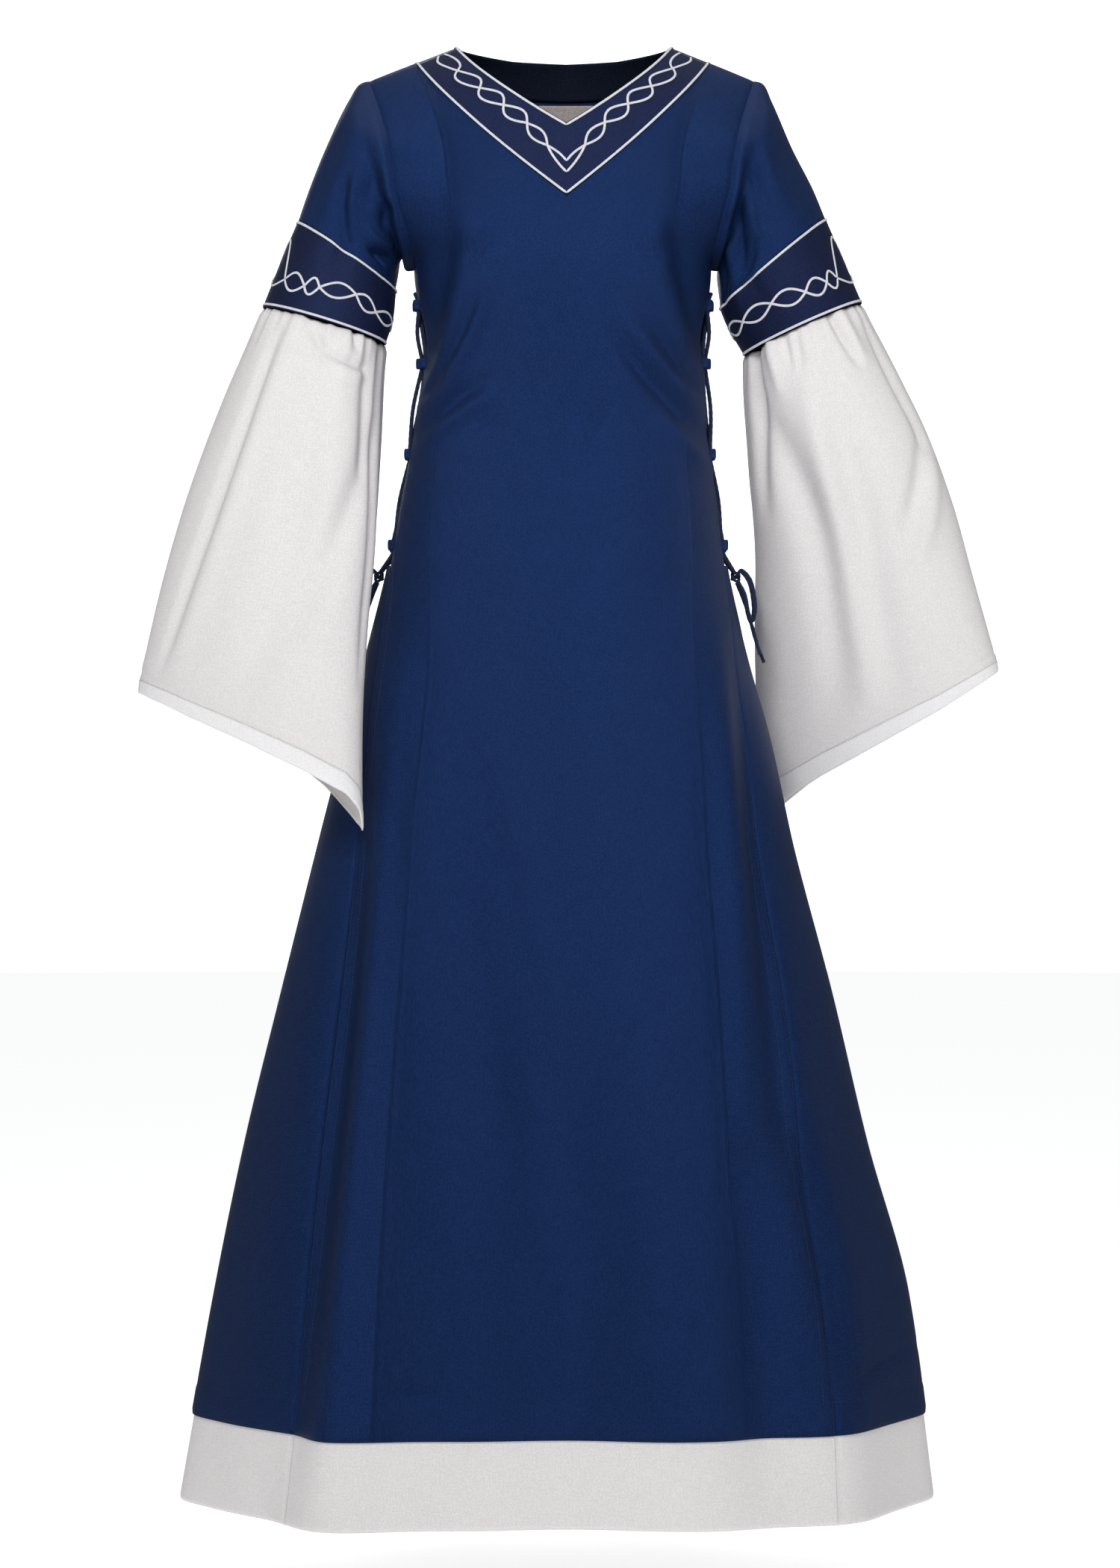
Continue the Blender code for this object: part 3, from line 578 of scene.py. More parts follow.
PANEL_INNER_COLUMNS = 38
PANEL_EDGE_COLUMNS = 24
PANEL_UPPER_ROWS = 50
PANEL_LOWER_ROWS = 205
EASE_ROWS = 13
EASE_REACH = 0.03
SEAM_DIP = 0.0009
SEAM_DIP_WIDTH = 0.0035


def column_reach(share, z):
    """How far from the middle a panel's column lies at this height, on an even body."""
    turn = 90 - share * (90 - read(PANEL_EDGE, "turn", z))
    half = half_width(np.ones_like(z), z) / LEFT_SCALE
    return half * np.clip(np.cos(np.radians(turn)), 0, None) ** (2 / SECTION_POWER)


def column_top(face, share):
    """Height where a panel's column meets the neck band or the shoulder seam."""
    low, high = np.full_like(share, -0.20), np.full_like(share, 0.06)
    for _ in range(40):
        z = (low + high) / 2
        reach = column_reach(share, z)
        inside = reach < BAND_OUTER_HALF
        edge = np.where(inside, band_line(face, reach), shoulder_line(reach))
        low, high = np.where(z < edge, z, low), np.where(z < edge, high, z)
    return low


def corner_share():
    """The column that meets the point where the neck band's edge reaches the shoulder."""
    shares = np.linspace(0, 1, 2001)
    z = np.full_like(shares, shoulder_line(BAND_OUTER_HALF))
    return float(np.interp(BAND_OUTER_HALF, column_reach(shares, z), shares))


def panel_places(face, share, z):
    """Degrees round the body of a panel's columns: share runs from -1, right, to 1, left."""
    inward = np.abs(share) * (90 - read(PANEL_EDGE, "turn", z))
    return np.sign(share) * (inward if face < 0 else 180 - inward)


CORNER = corner_share()
HALF_SHARES = np.concatenate(
    [
        np.linspace(0, CORNER, PANEL_INNER_COLUMNS),
        1 - (1 - CORNER) * np.linspace(1, 0, PANEL_EDGE_COLUMNS)[1:] ** 1.25,
    ]
)
PANEL_SHARES = np.concatenate([-HALF_SHARES[:0:-1], HALF_SHARES])


def panel_grid(face, shares, heights, out):
    share, z = np.meshgrid(shares, heights)
    place = panel_places(face, np.where(share == 0, TINY, share), z)
    return body(place, z, out)


def seam_dip(grid):
    """The cloth sinks a little where it is sewn along its two long edges."""
    step = np.linalg.norm(np.diff(grid, axis=1), axis=-1)
    from_right = np.concatenate([np.zeros((len(grid), 1)), step.cumsum(axis=1)], axis=1)
    near = np.minimum(from_right, from_right[:, -1:] - from_right)
    return SEAM_DIP * bell(near, SEAM_DIP_WIDTH)


def hem_step(above_stitches, proud):
    """The second layer of a turned hem lifts the cloth below its stitches."""
    return proud / 2 * (1 - np.tanh(above_stitches / 0.0024))


def hem_relief(z, edge_z):
    """The folded hem stands proud below its row of stitches, which pull the cloth in."""
    fold = hem_step(z - HEM_STITCH_Z, 0.0005)
    return fold - 0.0007 * bell(z - HEM_STITCH_Z, 0.0022) - 0.0010 * bell(z - edge_z, 0.0018)


def eased(grid):
    """The panel with its rows near the underarm drawn into one smooth line."""
    kernel = np.hanning(EASE_ROWS + 2)[1:-1]
    kernel /= kernel.sum()
    half = EASE_ROWS // 2
    padded = np.concatenate([grid[:1]] * half + [grid] + [grid[-1:]] * half)
    smooth = sum(share * padded[k : k + len(grid)] for k, share in enumerate(kernel))
    near = bell(grid[..., 2] - UNDERARM_Z, EASE_REACH)
    weight = (near * (1 - np.abs(PANEL_SHARES) ** 8)[None])[..., None]
    return grid * (1 - weight) + smooth * weight


def make_panel(name, face):
    tops = column_top(face, np.abs(PANEL_SHARES))
    parts = np.linspace(0, 1, PANEL_UPPER_ROWS) ** 1.35
    z = tops[None, :] + (UNDERARM_Z - tops)[None, :] * parts[:, None]
    share = np.broadcast_to(np.where(PANEL_SHARES == 0, TINY, PANEL_SHARES), z.shape)
    upper = body(panel_places(face, share, z), z)
    heights = np.linspace(UNDERARM_Z - 0.005, BLUE_HEM_Z, PANEL_LOWER_ROWS)
    out = CLOTH_OUT + hem_relief(heights, BLUE_HEM_Z)[:, None]
    lower = panel_grid(face, PANEL_SHARES, heights, out)
    grid = eased(np.concatenate([upper, lower]))
    if face > 0:
        grid = grid[:, ::-1]
    grid = grid - normals_of(grid) * seam_dip(grid)[..., None]
    return cloth(name, grid, blue_canvas)


front_panel = dress(make_panel("front_panel_cloth", -1), "blue_canvas", "front_panel")
back_panel = dress(make_panel("back_panel_cloth", 1), "blue_canvas", "back_panel")

# The side gores: two tapered pieces of the same canvas let into the side seams from the hip
# down, which give the skirt its width.
GORE_COLUMNS = 49
GORE_ROWS = 172


def gore_grid(side, heights, out):
    share, z = np.meshgrid(np.linspace(-1, 1, GORE_COLUMNS), heights)
    place = side * (90 + share * read(PANEL_EDGE, "turn", z))
    grid = body(place, z, out)
    return grid if side > 0 else grid[:, ::-1]


def make_gore(side):
    heights = np.linspace(GORE_TOP_Z, BLUE_HEM_Z, GORE_ROWS)
    grid = gore_grid(side, heights, CLOTH_OUT + hem_relief(heights, BLUE_HEM_Z)[:, None])
    grid = grid - normals_of(grid) * seam_dip(grid)[..., None]
    return cloth(f"side_gore_{SIDE_NAMES[side]}_cloth", grid, blue_canvas)


for side, side_name in SIDE_NAMES.items():
    gore = dress(make_gore(side), "blue_canvas", f"side_gore_{side_name}")

# The natural hem band: straight strips of undyed cotton, sewn inside the blue hem and hanging
# below it, with a narrow turned edge.
BAND_INSIDE = -0.0012
BAND_ROWS = 40
natural_cotton = woven(
    "natural_cotton", (0.665, 0.64, 0.64), (0.75, 0.725, 0.73), 1500, 0.55, 0.9
)


def turned_edge(z):
    return BAND_INSIDE - 0.0009 * bell(z - HEM_Z, 0.0020)


band_heights = np.linspace(HEM_STITCH_Z, HEM_Z, BAND_ROWS)
band_out = turned_edge(band_heights)[:, None]
for face, face_name in FACE_NAMES.items():
    grid = panel_grid(face, PANEL_SHARES, band_heights, band_out)
    piece = cloth(f"hem_band_{face_name}_cloth", grid[:, ::-face], natural_cotton)
    dress(piece, "natural_cotton", f"hem_band_{face_name}")
for side, side_name in SIDE_NAMES.items():
    grid = gore_grid(side, band_heights, band_out)
    piece = cloth(f"hem_band_{side_name}_gore_cloth", grid, natural_cotton)
    dress(piece, "natural_cotton", f"hem_band_{side_name}_gore")

# The neck band: a shaped facing of dark navy cotton, turned to the outside round the V neck
# and the back of the neck and sewn down along its outer edge.
BAND_LAP = 0.0016
BAND_OUT = 0.0022
NECK_BAND_WIDE = 0.06
NECK_COLUMNS = 121
NECK_ROWS = 22
navy_cotton = woven(
    "navy_cotton", (0.0050, 0.0075, 0.0225), (0.0095, 0.013, 0.036), 2000, 0.4, 0.6, 0.5
)


def band_place(face, share, part):
    """A point on the neck band: share runs from -1, right, to 1, left, part from the neck out."""
    side_scale = np.where(share < 0, RIGHT_SCALE, LEFT_SCALE)
    reach = np.abs(share)
    inner_x, inner_z = reach * NECK_HALF, neck_line(face, reach * NECK_HALF)
    outer_x, outer_z = reach * BAND_OUTER_HALF, band_line(face, reach * BAND_OUTER_HALF)
    x = np.sign(share) * side_scale * (inner_x + (outer_x - inner_x) * part)
    z = inner_z + (outer_z - inner_z) * part
    return x, z


def band_points(face, share, part, out):
    share = np.where(share == 0, TINY, share)
    x, z = band_place(face, share, part)
    return body(place_at(face, x, z), z, out)


def make_neck_band(name, face):
    parts = np.linspace(0, 1 + BAND_LAP / NECK_BAND_WIDE, NECK_ROWS)
    share, part = np.meshgrid(np.linspace(-1, 1, NECK_COLUMNS), parts)
    edge = np.minimum(part, part.max() - part) * NECK_BAND_WIDE
    out = BAND_OUT - 0.0007 * bell(edge, 0.0012)
    grid = band_points(face, share, part, out)
    return cloth(name, grid[:, ::-face], navy_cotton)


for face, face_name in FACE_NAMES.items():
    piece = make_neck_band(f"neck_band_{face_name}_cloth", face)
    dress(piece, "navy_band", f"neck_band_{face_name}")

# Inside the back of the neck: a facing of very dark navy cotton, and below it a bare woven
# label, sewn on at its two ends.
FACING_PART = 0.93
FACING_SHARE = 0.93
FACING_INSIDE = 0.0008
FACING_THICK = 0.0007
LABEL_HALF = 0.033
LABEL_TOP_Z = -0.0445
LABEL_BOTTOM_Z = -0.0745
LABEL_THICK = 0.0004
facing_navy = woven("facing_navy", (0.0055, 0.0085, 0.016), (0.010, 0.014, 0.027), 2000, 0.3)
label_tape = woven("label_tape", (0.30, 0.27, 0.26), (0.40, 0.36, 0.35), 3200, 0.2, 0.6)

facing_shares = np.linspace(-FACING_SHARE, FACING_SHARE, 61)
share, part = np.meshgrid(facing_shares, np.linspace(0, FACING_PART, 14))
facing_grid = band_points(1, share, part, 0.0)[:, ::-1]
facing_grid = facing_grid - normals_of(facing_grid) * FACING_INSIDE
back_facing = cloth("back_neck_facing_cloth", facing_grid, facing_navy, thick=FACING_THICK)
dress(back_facing, "neck_facing", "back_neck_facing")
label_x, label_z = np.meshgrid(
    np.linspace(LABEL_HALF, -LABEL_HALF, 25), np.linspace(LABEL_TOP_Z, LABEL_BOTTOM_Z, 12)
)
label_sag = -0.0016 - 0.0005 * np.cos(label_x / LABEL_HALF * math.pi / 2)
label_grid = body(place_at(1, label_x, label_z), label_z, label_sag)
neck_label = cloth("neck_label_cloth", label_grid, label_tape, thick=LABEL_THICK)
dress(neck_label, "label_cloth", "neck_label")

# The embroidery: off-white cord in dense satin stitch, 2.5 mm wide, laid on the bands.
# Two border lines run along each band's edges, and two interlaced waves between them.
CORD_WIDTH = 0.0025
CORD_HEIGHT = 0.0011
CORD_STEP = 0.0011
CORD_SIDES = 8
CORD_LIFT = 0.0005
STRAND_LIFT = 0.0003
NUDGE = 0.004
WAVE_HALF = 0.0078
WAVE_SPACING = 0.0300
WAVE_FIRST = 0.0286
WAVE_SLANT = 0.85
STRAND_DEPTH = 0.0004

# Where the neck band's waves run between its two edges, by the share of the way to the shoulder
WAVE_LINE = {
    "share": np.array([0.0, 0.15, 0.33, 0.55, 0.80, 1.0]),
    "part": np.array([0.62, 0.50, 0.37, 0.36, 0.40, 0.43]),
}

# Satin stitches: fine threads side by side, slanted across the cord. Place is in metres along
# the cord and in shares across it. The colour darkens to a painted groove shade between the
# threads, where their height is low, and also varies in random patches.
satin, satin_in, satin_out = thread_group(
    "satin_stitch",
    {
        "Threads per metre": 2200.0,
        "Slant": 1.0,
        "Thread colour": (0.7, 0.7, 0.7, 1),
        "Groove shade colour": (0.4, 0.4, 0.4, 1),
    },
)
satin_apart = satin.nodes.new("ShaderNodeSeparateXYZ")
satin.links.new(satin_in.outputs["Place"], satin_apart.inputs[0])
along_threads = math_node(
    satin, "MULTIPLY", satin_apart.outputs[0], satin_in.outputs["Threads per metre"]
)
slanted = math_node(satin, "MULTIPLY", satin_apart.outputs[1], satin_in.outputs["Slant"])
phase = math_node(satin, "MULTIPLY", math_node(satin, "ADD", along_threads, slanted), 2 * math.pi)
above_none = math_node(satin, "ADD", math_node(satin, "SINE", phase), 1.0)
ridge = math_node(satin, "MULTIPLY", above_none, 0.5)
patchy = streak_noise(satin, satin_in.outputs["Place"], (260, 3, 0))
# Painted shade: the colour follows the threads' height and is darkest in the grooves between them;
# the patchy noise on top is random tone
satin_colour_with_shade = mixed_colour(
    satin,
    math_node(satin, "ADD", math_node(satin, "MULTIPLY", ridge, 0.6), patchy),
    satin_in.outputs["Groove shade colour"],
    satin_in.outputs["Thread colour"],
)
satin.links.new(satin_colour_with_shade, satin_out.inputs["Colour"])
satin.links.new(ridge, satin_out.inputs["Height"])


def corded(name, colour, groove_shade_colour, threads, slant, bump, roughness=0.6):
    """Thread or cord whose strands wind along the piece's own UV map, with painted shade in the
    grooves between the strands.
    """
    values = {
        "Threads per metre": threads,
        "Slant": slant,
        "Thread colour": (*colour, 1),
        "Groove shade colour": (*groove_shade_colour, 1),
    }
    material, shader = threaded(name, satin, values, bump, STRAND_DEPTH, roughness, 0.3)
    shader.inputs["Sheen Weight"].default_value = 0.1
    return material


# The second colour is painted shade for the grooves between the strands
embroidery_thread = corded(
    "embroidery_thread", (0.80, 0.80, 0.84), (0.52, 0.52, 0.58), 1500, 1.4, 0.7
)


def run_along(path):
    """The length along a path to each of its points."""
    steps = np.linalg.norm(np.diff(path[:, :3], axis=0), axis=1)
    return np.concatenate([[0], steps.cumsum()])


def evenly(path, step):
    """The same path with its points this far apart."""
    length = run_along(path)
    count = max(3, int(round(length[-1] / step)) + 1)
    targets = np.linspace(0, length[-1], count)
    return np.stack([np.interp(targets, length, column) for column in path.T], 1)


def cord_faces(length, sides, start=0):
    """The faces round a cord, with the places of their corners along the cord and round it."""
    rows = len(length)
    number = closed_round(start + np.arange(rows * sides).reshape(rows, sides))
    along = np.repeat(length[:, None], sides + 1, axis=1)
    around = np.repeat(np.linspace(0, 1, sides + 1)[None], rows, axis=0)
    return grid_faces(number, along, around, turned=True)


def laid_cords(name, paths, material):
    """Half-round cords on a surface, in one mesh. Each path holds points and their normals."""
    points, faces, lengths = [], [], []
    angle = np.linspace(0, 2 * np.pi, CORD_SIDES, endpoint=False)[None, :, None]
    for path in paths:
        path = evenly(path, CORD_STEP)
        centre, normal = path[:, None, :3], unit(path[:, None, 3:6])
        tangent = unit(np.gradient(path[:, :3], axis=0))[:, None]
        across = unit(np.cross(tangent, normal))
        length = run_along(path)
        uneven = 1 + 0.07 * np.sin(length * 2310) * np.sin(length * 571 + 1)
        taper = np.clip(np.minimum(length, length[-1] - length) / CORD_WIDTH + 0.35, 0, 1)
        half_wide = (CORD_WIDTH / 2 * uneven * taper)[:, None, None]
        ring = centre + across * (np.cos(angle) * half_wide)
        ring = ring + normal * ((np.sin(angle) * 0.5 + 0.18) * CORD_HEIGHT)
        path_faces, path_lengths = cord_faces(length, CORD_SIDES, start=sum(map(len, points)))
        faces += path_faces
        lengths.append(path_lengths)
        points.append(ring.reshape(-1, 3))
    points, lengths = np.concatenate(points).tolist(), np.concatenate(lengths)
    return dress(thread_mesh(name, points, faces, lengths, material), "navy_band")


def on_band(face, share, part, lift=CORD_LIFT):
    """Points on the neck band's outer face with their normals, for cord laid on it."""
    point = band_points(face, share, part, BAND_OUT + lift)
    ahead = band_points(face, share + NUDGE, part, BAND_OUT)
    behind = band_points(face, share - NUDGE, part, BAND_OUT)
    below = band_points(face, share, part + NUDGE * 4, BAND_OUT)
    above = band_points(face, share, part - NUDGE * 4, BAND_OUT)
    normal = np.cross(below - above, ahead - behind)
    normal *= np.sign(normal[:, 1:2] * face + TINY)
    return np.concatenate([point, unit(normal)], axis=1)


def wave_strands(face, sign):
    """The two strands of the interlaced wave on one side of the neck band."""
    share = np.linspace(1e-4, 0.985, 500)
    part = np.interp(share, WAVE_LINE["share"], WAVE_LINE["part"]) if face < 0 else 0.52 + 0 * share
    x, z = band_place(face, sign * share, part)
    length = np.concatenate([[0], np.hypot(np.diff(x), np.diff(z)).cumsum()])
    inner_x, inner_z = band_place(face, sign * share, 0 * share)
    outer_x, outer_z = band_place(face, sign * share, 0 * share + 1)
    width = np.hypot(outer_x - inner_x, outer_z - inner_z)
    turn = np.where(
        length < WAVE_FIRST,
        length / WAVE_FIRST * np.pi / 2,
        np.pi / 2 + (length - WAVE_FIRST) / WAVE_SPACING * np.pi,
    )
    strands = []
    for strand in (-1, 1):
        offset = strand * WAVE_HALF * np.cos(turn) * np.clip(0.72 + length / 0.08, 0, 1)
        fade = np.clip(length / 0.03, 0, 1) * np.clip((length[-1] - length) / 0.02, 0, 1)
        shift = WAVE_SLANT * offset * fade
        moved = np.interp(length + shift, length, share)
        here = np.interp(moved, share, part) + offset / np.interp(moved, share, width)
        lift = CORD_LIFT + STRAND_LIFT * strand * np.sin(turn)
        strands.append(on_band(face, sign * moved, here, lift))
    return strands


neck_cords = []
for face in (-1, 1):
    for sign in (-1, 1):
        share = np.maximum(np.linspace(0, 1, 300), 1e-6)
        for border in (0.035, 0.985):
            neck_cords.append(on_band(face, sign * share, border + 0 * share))
        neck_cords += wave_strands(face, sign)
laid_cords("neck_embroidery", neck_cords, embroidery_thread)

# The short sleeves: blue canvas, set into the armholes with a soft head and falling in
# shallow upright folds to the band above the elbow.
Ring = namedtuple("Ring", "outer_x outer_y outer_z inner_x inner_y inner_z half_depth")
UPPER_RINGS = {
    -1: (
        Ring(-0.2190, 0.000, -0.0560, -0.1640, 0.000, -0.2120, 0.067),
        Ring(-0.2410, 0.000, -0.1023, -0.1700, -0.003, -0.2190, 0.064),
        Ring(-0.2572, -0.004, -0.1440, -0.1722, -0.006, -0.2310, 0.060),
        Ring(-0.2682, -0.008, -0.1773, -0.1728, -0.010, -0.2451, 0.058),
    ),
    1: (
        Ring(0.2060, 0.000, -0.0560, 0.1530, 0.000, -0.2160, 0.067),
        Ring(0.2259, 0.000, -0.1023, 0.1540, 0.000, -0.2290, 0.064),
        Ring(0.2470, 0.000, -0.1440, 0.1555, 0.000, -0.2450, 0.060),
        Ring(0.2590, 0.000, -0.1730, 0.1560, 0.000, -0.2617, 0.058),
    ),
}
SLEEVE_COLUMNS = 128
UPPER_ROWS = 64
SLEEVE_HEAD = 0.0055
SEAM_ALLOWANCE = 0.004
SLEEVE_LAP = 0.0008
ALLOWANCE_INSIDE = 0.0016

# The way that the sleeve's head leaves the armhole: sideways, opening to the front and back,
# and down at the top and underneath
HEAD_OUT = 0.94
HEAD_OPENS = 0.35
HEAD_DROP = -0.42
HEAD_DROP_BELOW = -0.10

# Folds of the upper sleeves: degrees round from the outer side towards the front, and shares
# of the way down, at both ends; width in metres, depth, and sideways bow
UPPER_FOLDS = {
    -1: (
        Crease(0, 66, 0.50, 104, 1.10, 0.0085, -0.0065, 0.002),
        Crease(0, 78, 0.30, 92, 0.90, 0.0080, 0.0040, 0.002),
        Crease(0, 114, 0.84, 156, 0.55, 0.0060, -0.0060, 0.004),
        Crease(0, 108, 0.70, 150, 0.44, 0.0080, 0.0042, 0.004),
        Crease(0, 120, 0.77, 142, 0.86, 0.0045, -0.0040, 0.000),
        Crease(0, 116, 0.06, 126, 0.50, 0.0070, -0.0040, 0.002),
        Crease(0, 95, 0.08, 100, 0.55, 0.0070, -0.0024, 0.002),
        Crease(0, 40, 0.25, 46, 1.05, 0.0110, -0.0020, 0.003),
        Crease(0, 205, 0.30, 200, 1.05, 0.0080, 0.0036, 0.002),
        Crease(0, 235, 0.20, 230, 1.05, 0.0090, -0.0050, 0.002),
        Crease(0, 262, 0.15, 268, 1.05, 0.0100, 0.0036, 0.002),
        Crease(0, 300, 0.25, 306, 1.05, 0.0090, -0.0032, 0.002),
    ),
    1: (
        Crease(0, 112, 0.20, 128, 0.98, 0.0075, -0.0068, 0.000),
        Crease(0, 96, 0.20, 108, 0.85, 0.0075, 0.0042, 0.002),
        Crease(0, 102, 0.72, 124, 0.96, 0.0055, -0.0045, 0.000),
        Crease(0, 136, 0.10, 142, 1.08, 0.0070, 0.0040, 0.002),
        Crease(0, 156, 0.25, 160, 1.05, 0.0070, -0.0050, 0.000),
        Crease(0, 84, 0.06, 90, 0.60, 0.0070, -0.0028, 0.002),
        Crease(0, 70, 0.15, 66, 0.80, 0.0100, 0.0022, 0.002),
        Crease(0, 38, 0.25, 44, 1.05, 0.0120, -0.0018, 0.003),
        Crease(0, 205, 0.30, 200, 1.05, 0.0080, 0.0036, 0.002),
        Crease(0, 230, 0.20, 226, 1.05, 0.0090, -0.0048, 0.002),
        Crease(0, 258, 0.15, 262, 1.05, 0.0100, 0.0034, 0.002),
        Crease(0, 296, 0.25, 300, 1.05, 0.0090, -0.0030, 0.002),
    ),
}


def ring_points(ring, angles):
    """An oval ring. Angle 0 is at its outer point, 90 degrees at the front, 180 at its inner."""
    outer = np.array([ring.outer_x, ring.outer_y, ring.outer_z])
    inner = np.array([ring.inner_x, ring.inner_y, ring.inner_z])
    across = np.array([0, -ring.half_depth, 0])
    middle, reach = (outer + inner) / 2, (outer - inner) / 2
    return middle + np.cos(angles)[:, None] * reach + np.sin(angles)[:, None] * across


def lofted(rings, count):
    """Rows evenly spaced on smooth lines through the rings, which are unevenly spaced."""
    rings = np.array(rings)
    gaps = np.linalg.norm(np.diff(rings, axis=0), axis=-1).mean(axis=1)
    at = np.concatenate([[0], gaps.cumsum()])
    slope = np.diff(rings, axis=0) / gaps[:, None, None]
    share = (gaps[1:] / (gaps[:-1] + gaps[1:]))[:, None, None]
    inner = slope[:-1] * share + slope[1:] * (1 - share)
    ends = np.concatenate([slope[:1], inner, slope[-1:]])
    targets = np.linspace(0, at[-1], count)
    i = np.clip(np.searchsorted(at, targets) - 1, 0, len(gaps) - 1)
    t = ((targets - at[i]) / gaps[i])[:, None, None]
    span = gaps[i][:, None, None]
    return (
        (1 + 2 * t) * (1 - t) ** 2 * rings[i]
        + t * (1 - t) ** 2 * span * ends[i]
        + t**2 * (3 - 2 * t) * rings[i + 1]
        + t**2 * (t - 1) * span * ends[i + 1]
    )


def girths(grid):
    return np.linalg.norm(grid - np.roll(grid, 1, axis=1), axis=-1).sum(axis=1)[:, None]


def sleeve_folds(grid, angles, folds):
    """How far the folds move a sleeve's grid out. Folds are in degrees round and shares down."""
    rows = len(grid)
    girth = girths(grid)
    run = np.linalg.norm(np.diff(grid, axis=0), axis=-1).mean(axis=1).sum()
    degrees = np.degrees(angles)[None, :]
    down = np.linspace(0, 1, rows)[:, None]
    total = np.zeros(grid.shape[:2])
    for fold in folds:
        middle_row = int(np.clip((fold.z0 + fold.z1) / 2, 0, 1) * (rows - 1))
        run_across = (fold.x1 - fold.x0) / 360 * girth[middle_row, 0]
        run_down = (fold.z1 - fold.z0) * run
        length = math.hypot(run_across, run_down)
        beside = (degrees - (fold.x0 + fold.x1) / 2 + 180) % 360 - 180
        beside = beside / 360 * girth
        below = (down - (fold.z0 + fold.z1) / 2) * run
        along = (beside * run_across + below * run_down) / length**2 + 0.5
        middle = np.clip(1 - (2 * along - 1) ** 2, 0, None)
        away = (beside * run_down - below * run_across) / length + fold.bow * middle
        total += fold.depth * middle * bell(away, fold.width)
    return total


def armhole_edge(side, angles, out):
    """The edge of the armhole, on the front and back panels, for these angles round the sleeve."""
    top = column_top(-1, np.array([1.0]))[0]
    z = top - (top - UNDERARM_Z) * (1 - np.cos(angles)) / 2
    turn = read(PANEL_EDGE, "turn", z)
    place = side * np.where(np.sin(angles) >= 0, 90 - turn, 90 + turn)
    return body(place, z, out)


def away_from_body(points, side, distance):
    """The points moved outwards, along the slope of the shoulder at the top of the sleeve."""
    outwards = unit(points - points.mean(axis=0))
    drop = np.where(outwards[:, 2] > 0, HEAD_DROP, HEAD_DROP_BELOW) * np.abs(outwards[:, 2])
    sideways = np.full(len(points), side * HEAD_OUT)
    direction = np.stack([sideways, outwards[:, 1] * HEAD_OPENS, drop], axis=1)
    return points + unit(direction) * distance


def round_from(rows, side):
    """Rows ordered so that their outer side is the sleeve's outer side."""
    return rows if side < 0 else rows[:, ::-1]


def outward(grid, side):
    """The directions out of a sleeve's grid, in its own order."""
    return round_from(normals_of(round_from(grid, side), closed=True), side)


sleeve_angles = np.linspace(0, 2 * np.pi, SLEEVE_COLUMNS, endpoint=False)
upper_grids = {}
for side, side_name in SIDE_NAMES.items():
    edge = armhole_edge(side, sleeve_angles, CLOTH_OUT - SLEEVE_LAP)
    head = armhole_edge(side, sleeve_angles, CLOTH_OUT + SLEEVE_LAP)
    head = away_from_body(head, side, SLEEVE_HEAD)
    allowance = armhole_edge(side, sleeve_angles, -ALLOWANCE_INSIDE)
    allowance[:, 0] -= side * SEAM_ALLOWANCE
    rings = [allowance, edge, head]
    rings += [ring_points(ring, sleeve_angles) for ring in UPPER_RINGS[side]]
    grid = lofted(rings, UPPER_ROWS)
    normal = outward(grid, side)
    push = CLOTH_OUT * np.linspace(0, 1, UPPER_ROWS)[:, None] ** 0.3
    grid = grid + normal * (push + sleeve_folds(grid, sleeve_angles, UPPER_FOLDS[side]))[..., None]
    upper_grids[side] = grid
    grid = round_from(grid, side)
    piece = cloth(f"upper_sleeve_{side_name}_cloth", grid, blue_canvas, closed=True)
    dress(piece, "blue_canvas", f"upper_sleeve_{side_name}")

# The sleeve bands: dark navy cotton above the elbow, with a border cord on each edge and the
# same interlaced waves between them. One strand makes a tall loop on the outer side.
BAND_RINGS = {
    -1: (
        Ring(-0.2858, -0.014, -0.2207, -0.1756, -0.018, -0.2757, 0.059),
        Ring(-0.3027, -0.018, -0.2647, -0.1828, -0.028, -0.3012, 0.060),
    ),
    1: (
        Ring(0.2780, 0.002, -0.2162, 0.1637, 0.004, -0.2793, 0.059),
        Ring(0.2962, 0.004, -0.2581, 0.1812, 0.010, -0.3082, 0.060),
    ),
}
SLEEVE_BAND_ROWS = 40
SLEEVE_BAND_OUT = 0.0018
SLEEVE_WAVE_HALF = 0.0084
SLEEVE_BORDERS = (0.018, 0.972)
FOLDS_MEET = -8
FOLDS_KEPT = 0.9
# Where the two strands cross, in degrees round the band and shares of the way down it
WAVE_CROSSINGS = {
    -1: {
        "angle": (39.4, 64.7, 78.8, 112.5, 137.8, 174, 210, 246, 282, 318, 354),
        "part": (0.667, 0.667, 0.615, 0.487, 0.590, 0.60, 0.60, 0.60, 0.60, 0.62, 0.64),
    },
    1: {
        "angle": (42.2, 56.2, 78.8, 109.7, 143.4, 178, 213, 249, 285, 321, 357),
        "part": (0.615, 0.615, 0.615, 0.538, 0.564, 0.58, 0.60, 0.60, 0.60, 0.60, 0.61),
    },
}
# At the outside of the arm one strand makes a tall loop, this share of the band's depth high
TALL_LOOP = 0.42


def on_grid(grid, normal, angle, part, lift):
    """Points on a sleeve's grid at these angles and shares of the way down, with normals."""
    rows, columns = grid.shape[:2]
    column = (np.asarray(angle) / (2 * np.pi) * columns) % columns
    row = np.clip(np.asarray(part) * (rows - 1), 0, rows - 1.001)
    i, j = np.floor(row).astype(int), np.floor(column).astype(int)
    s, t = (row - i)[:, None], (column - j)[:, None]
    k = (j + 1) % columns

    def mixed(values):
        upper = values[i, j % columns] * (1 - t) + values[i, k] * t
        lower = values[i + 1, j % columns] * (1 - t) + values[i + 1, k] * t
        return upper * (1 - s) + lower * s

    away = mixed(normal)
    return np.concatenate([mixed(grid) + away * np.reshape(lift, (-1, 1)), away], axis=1)


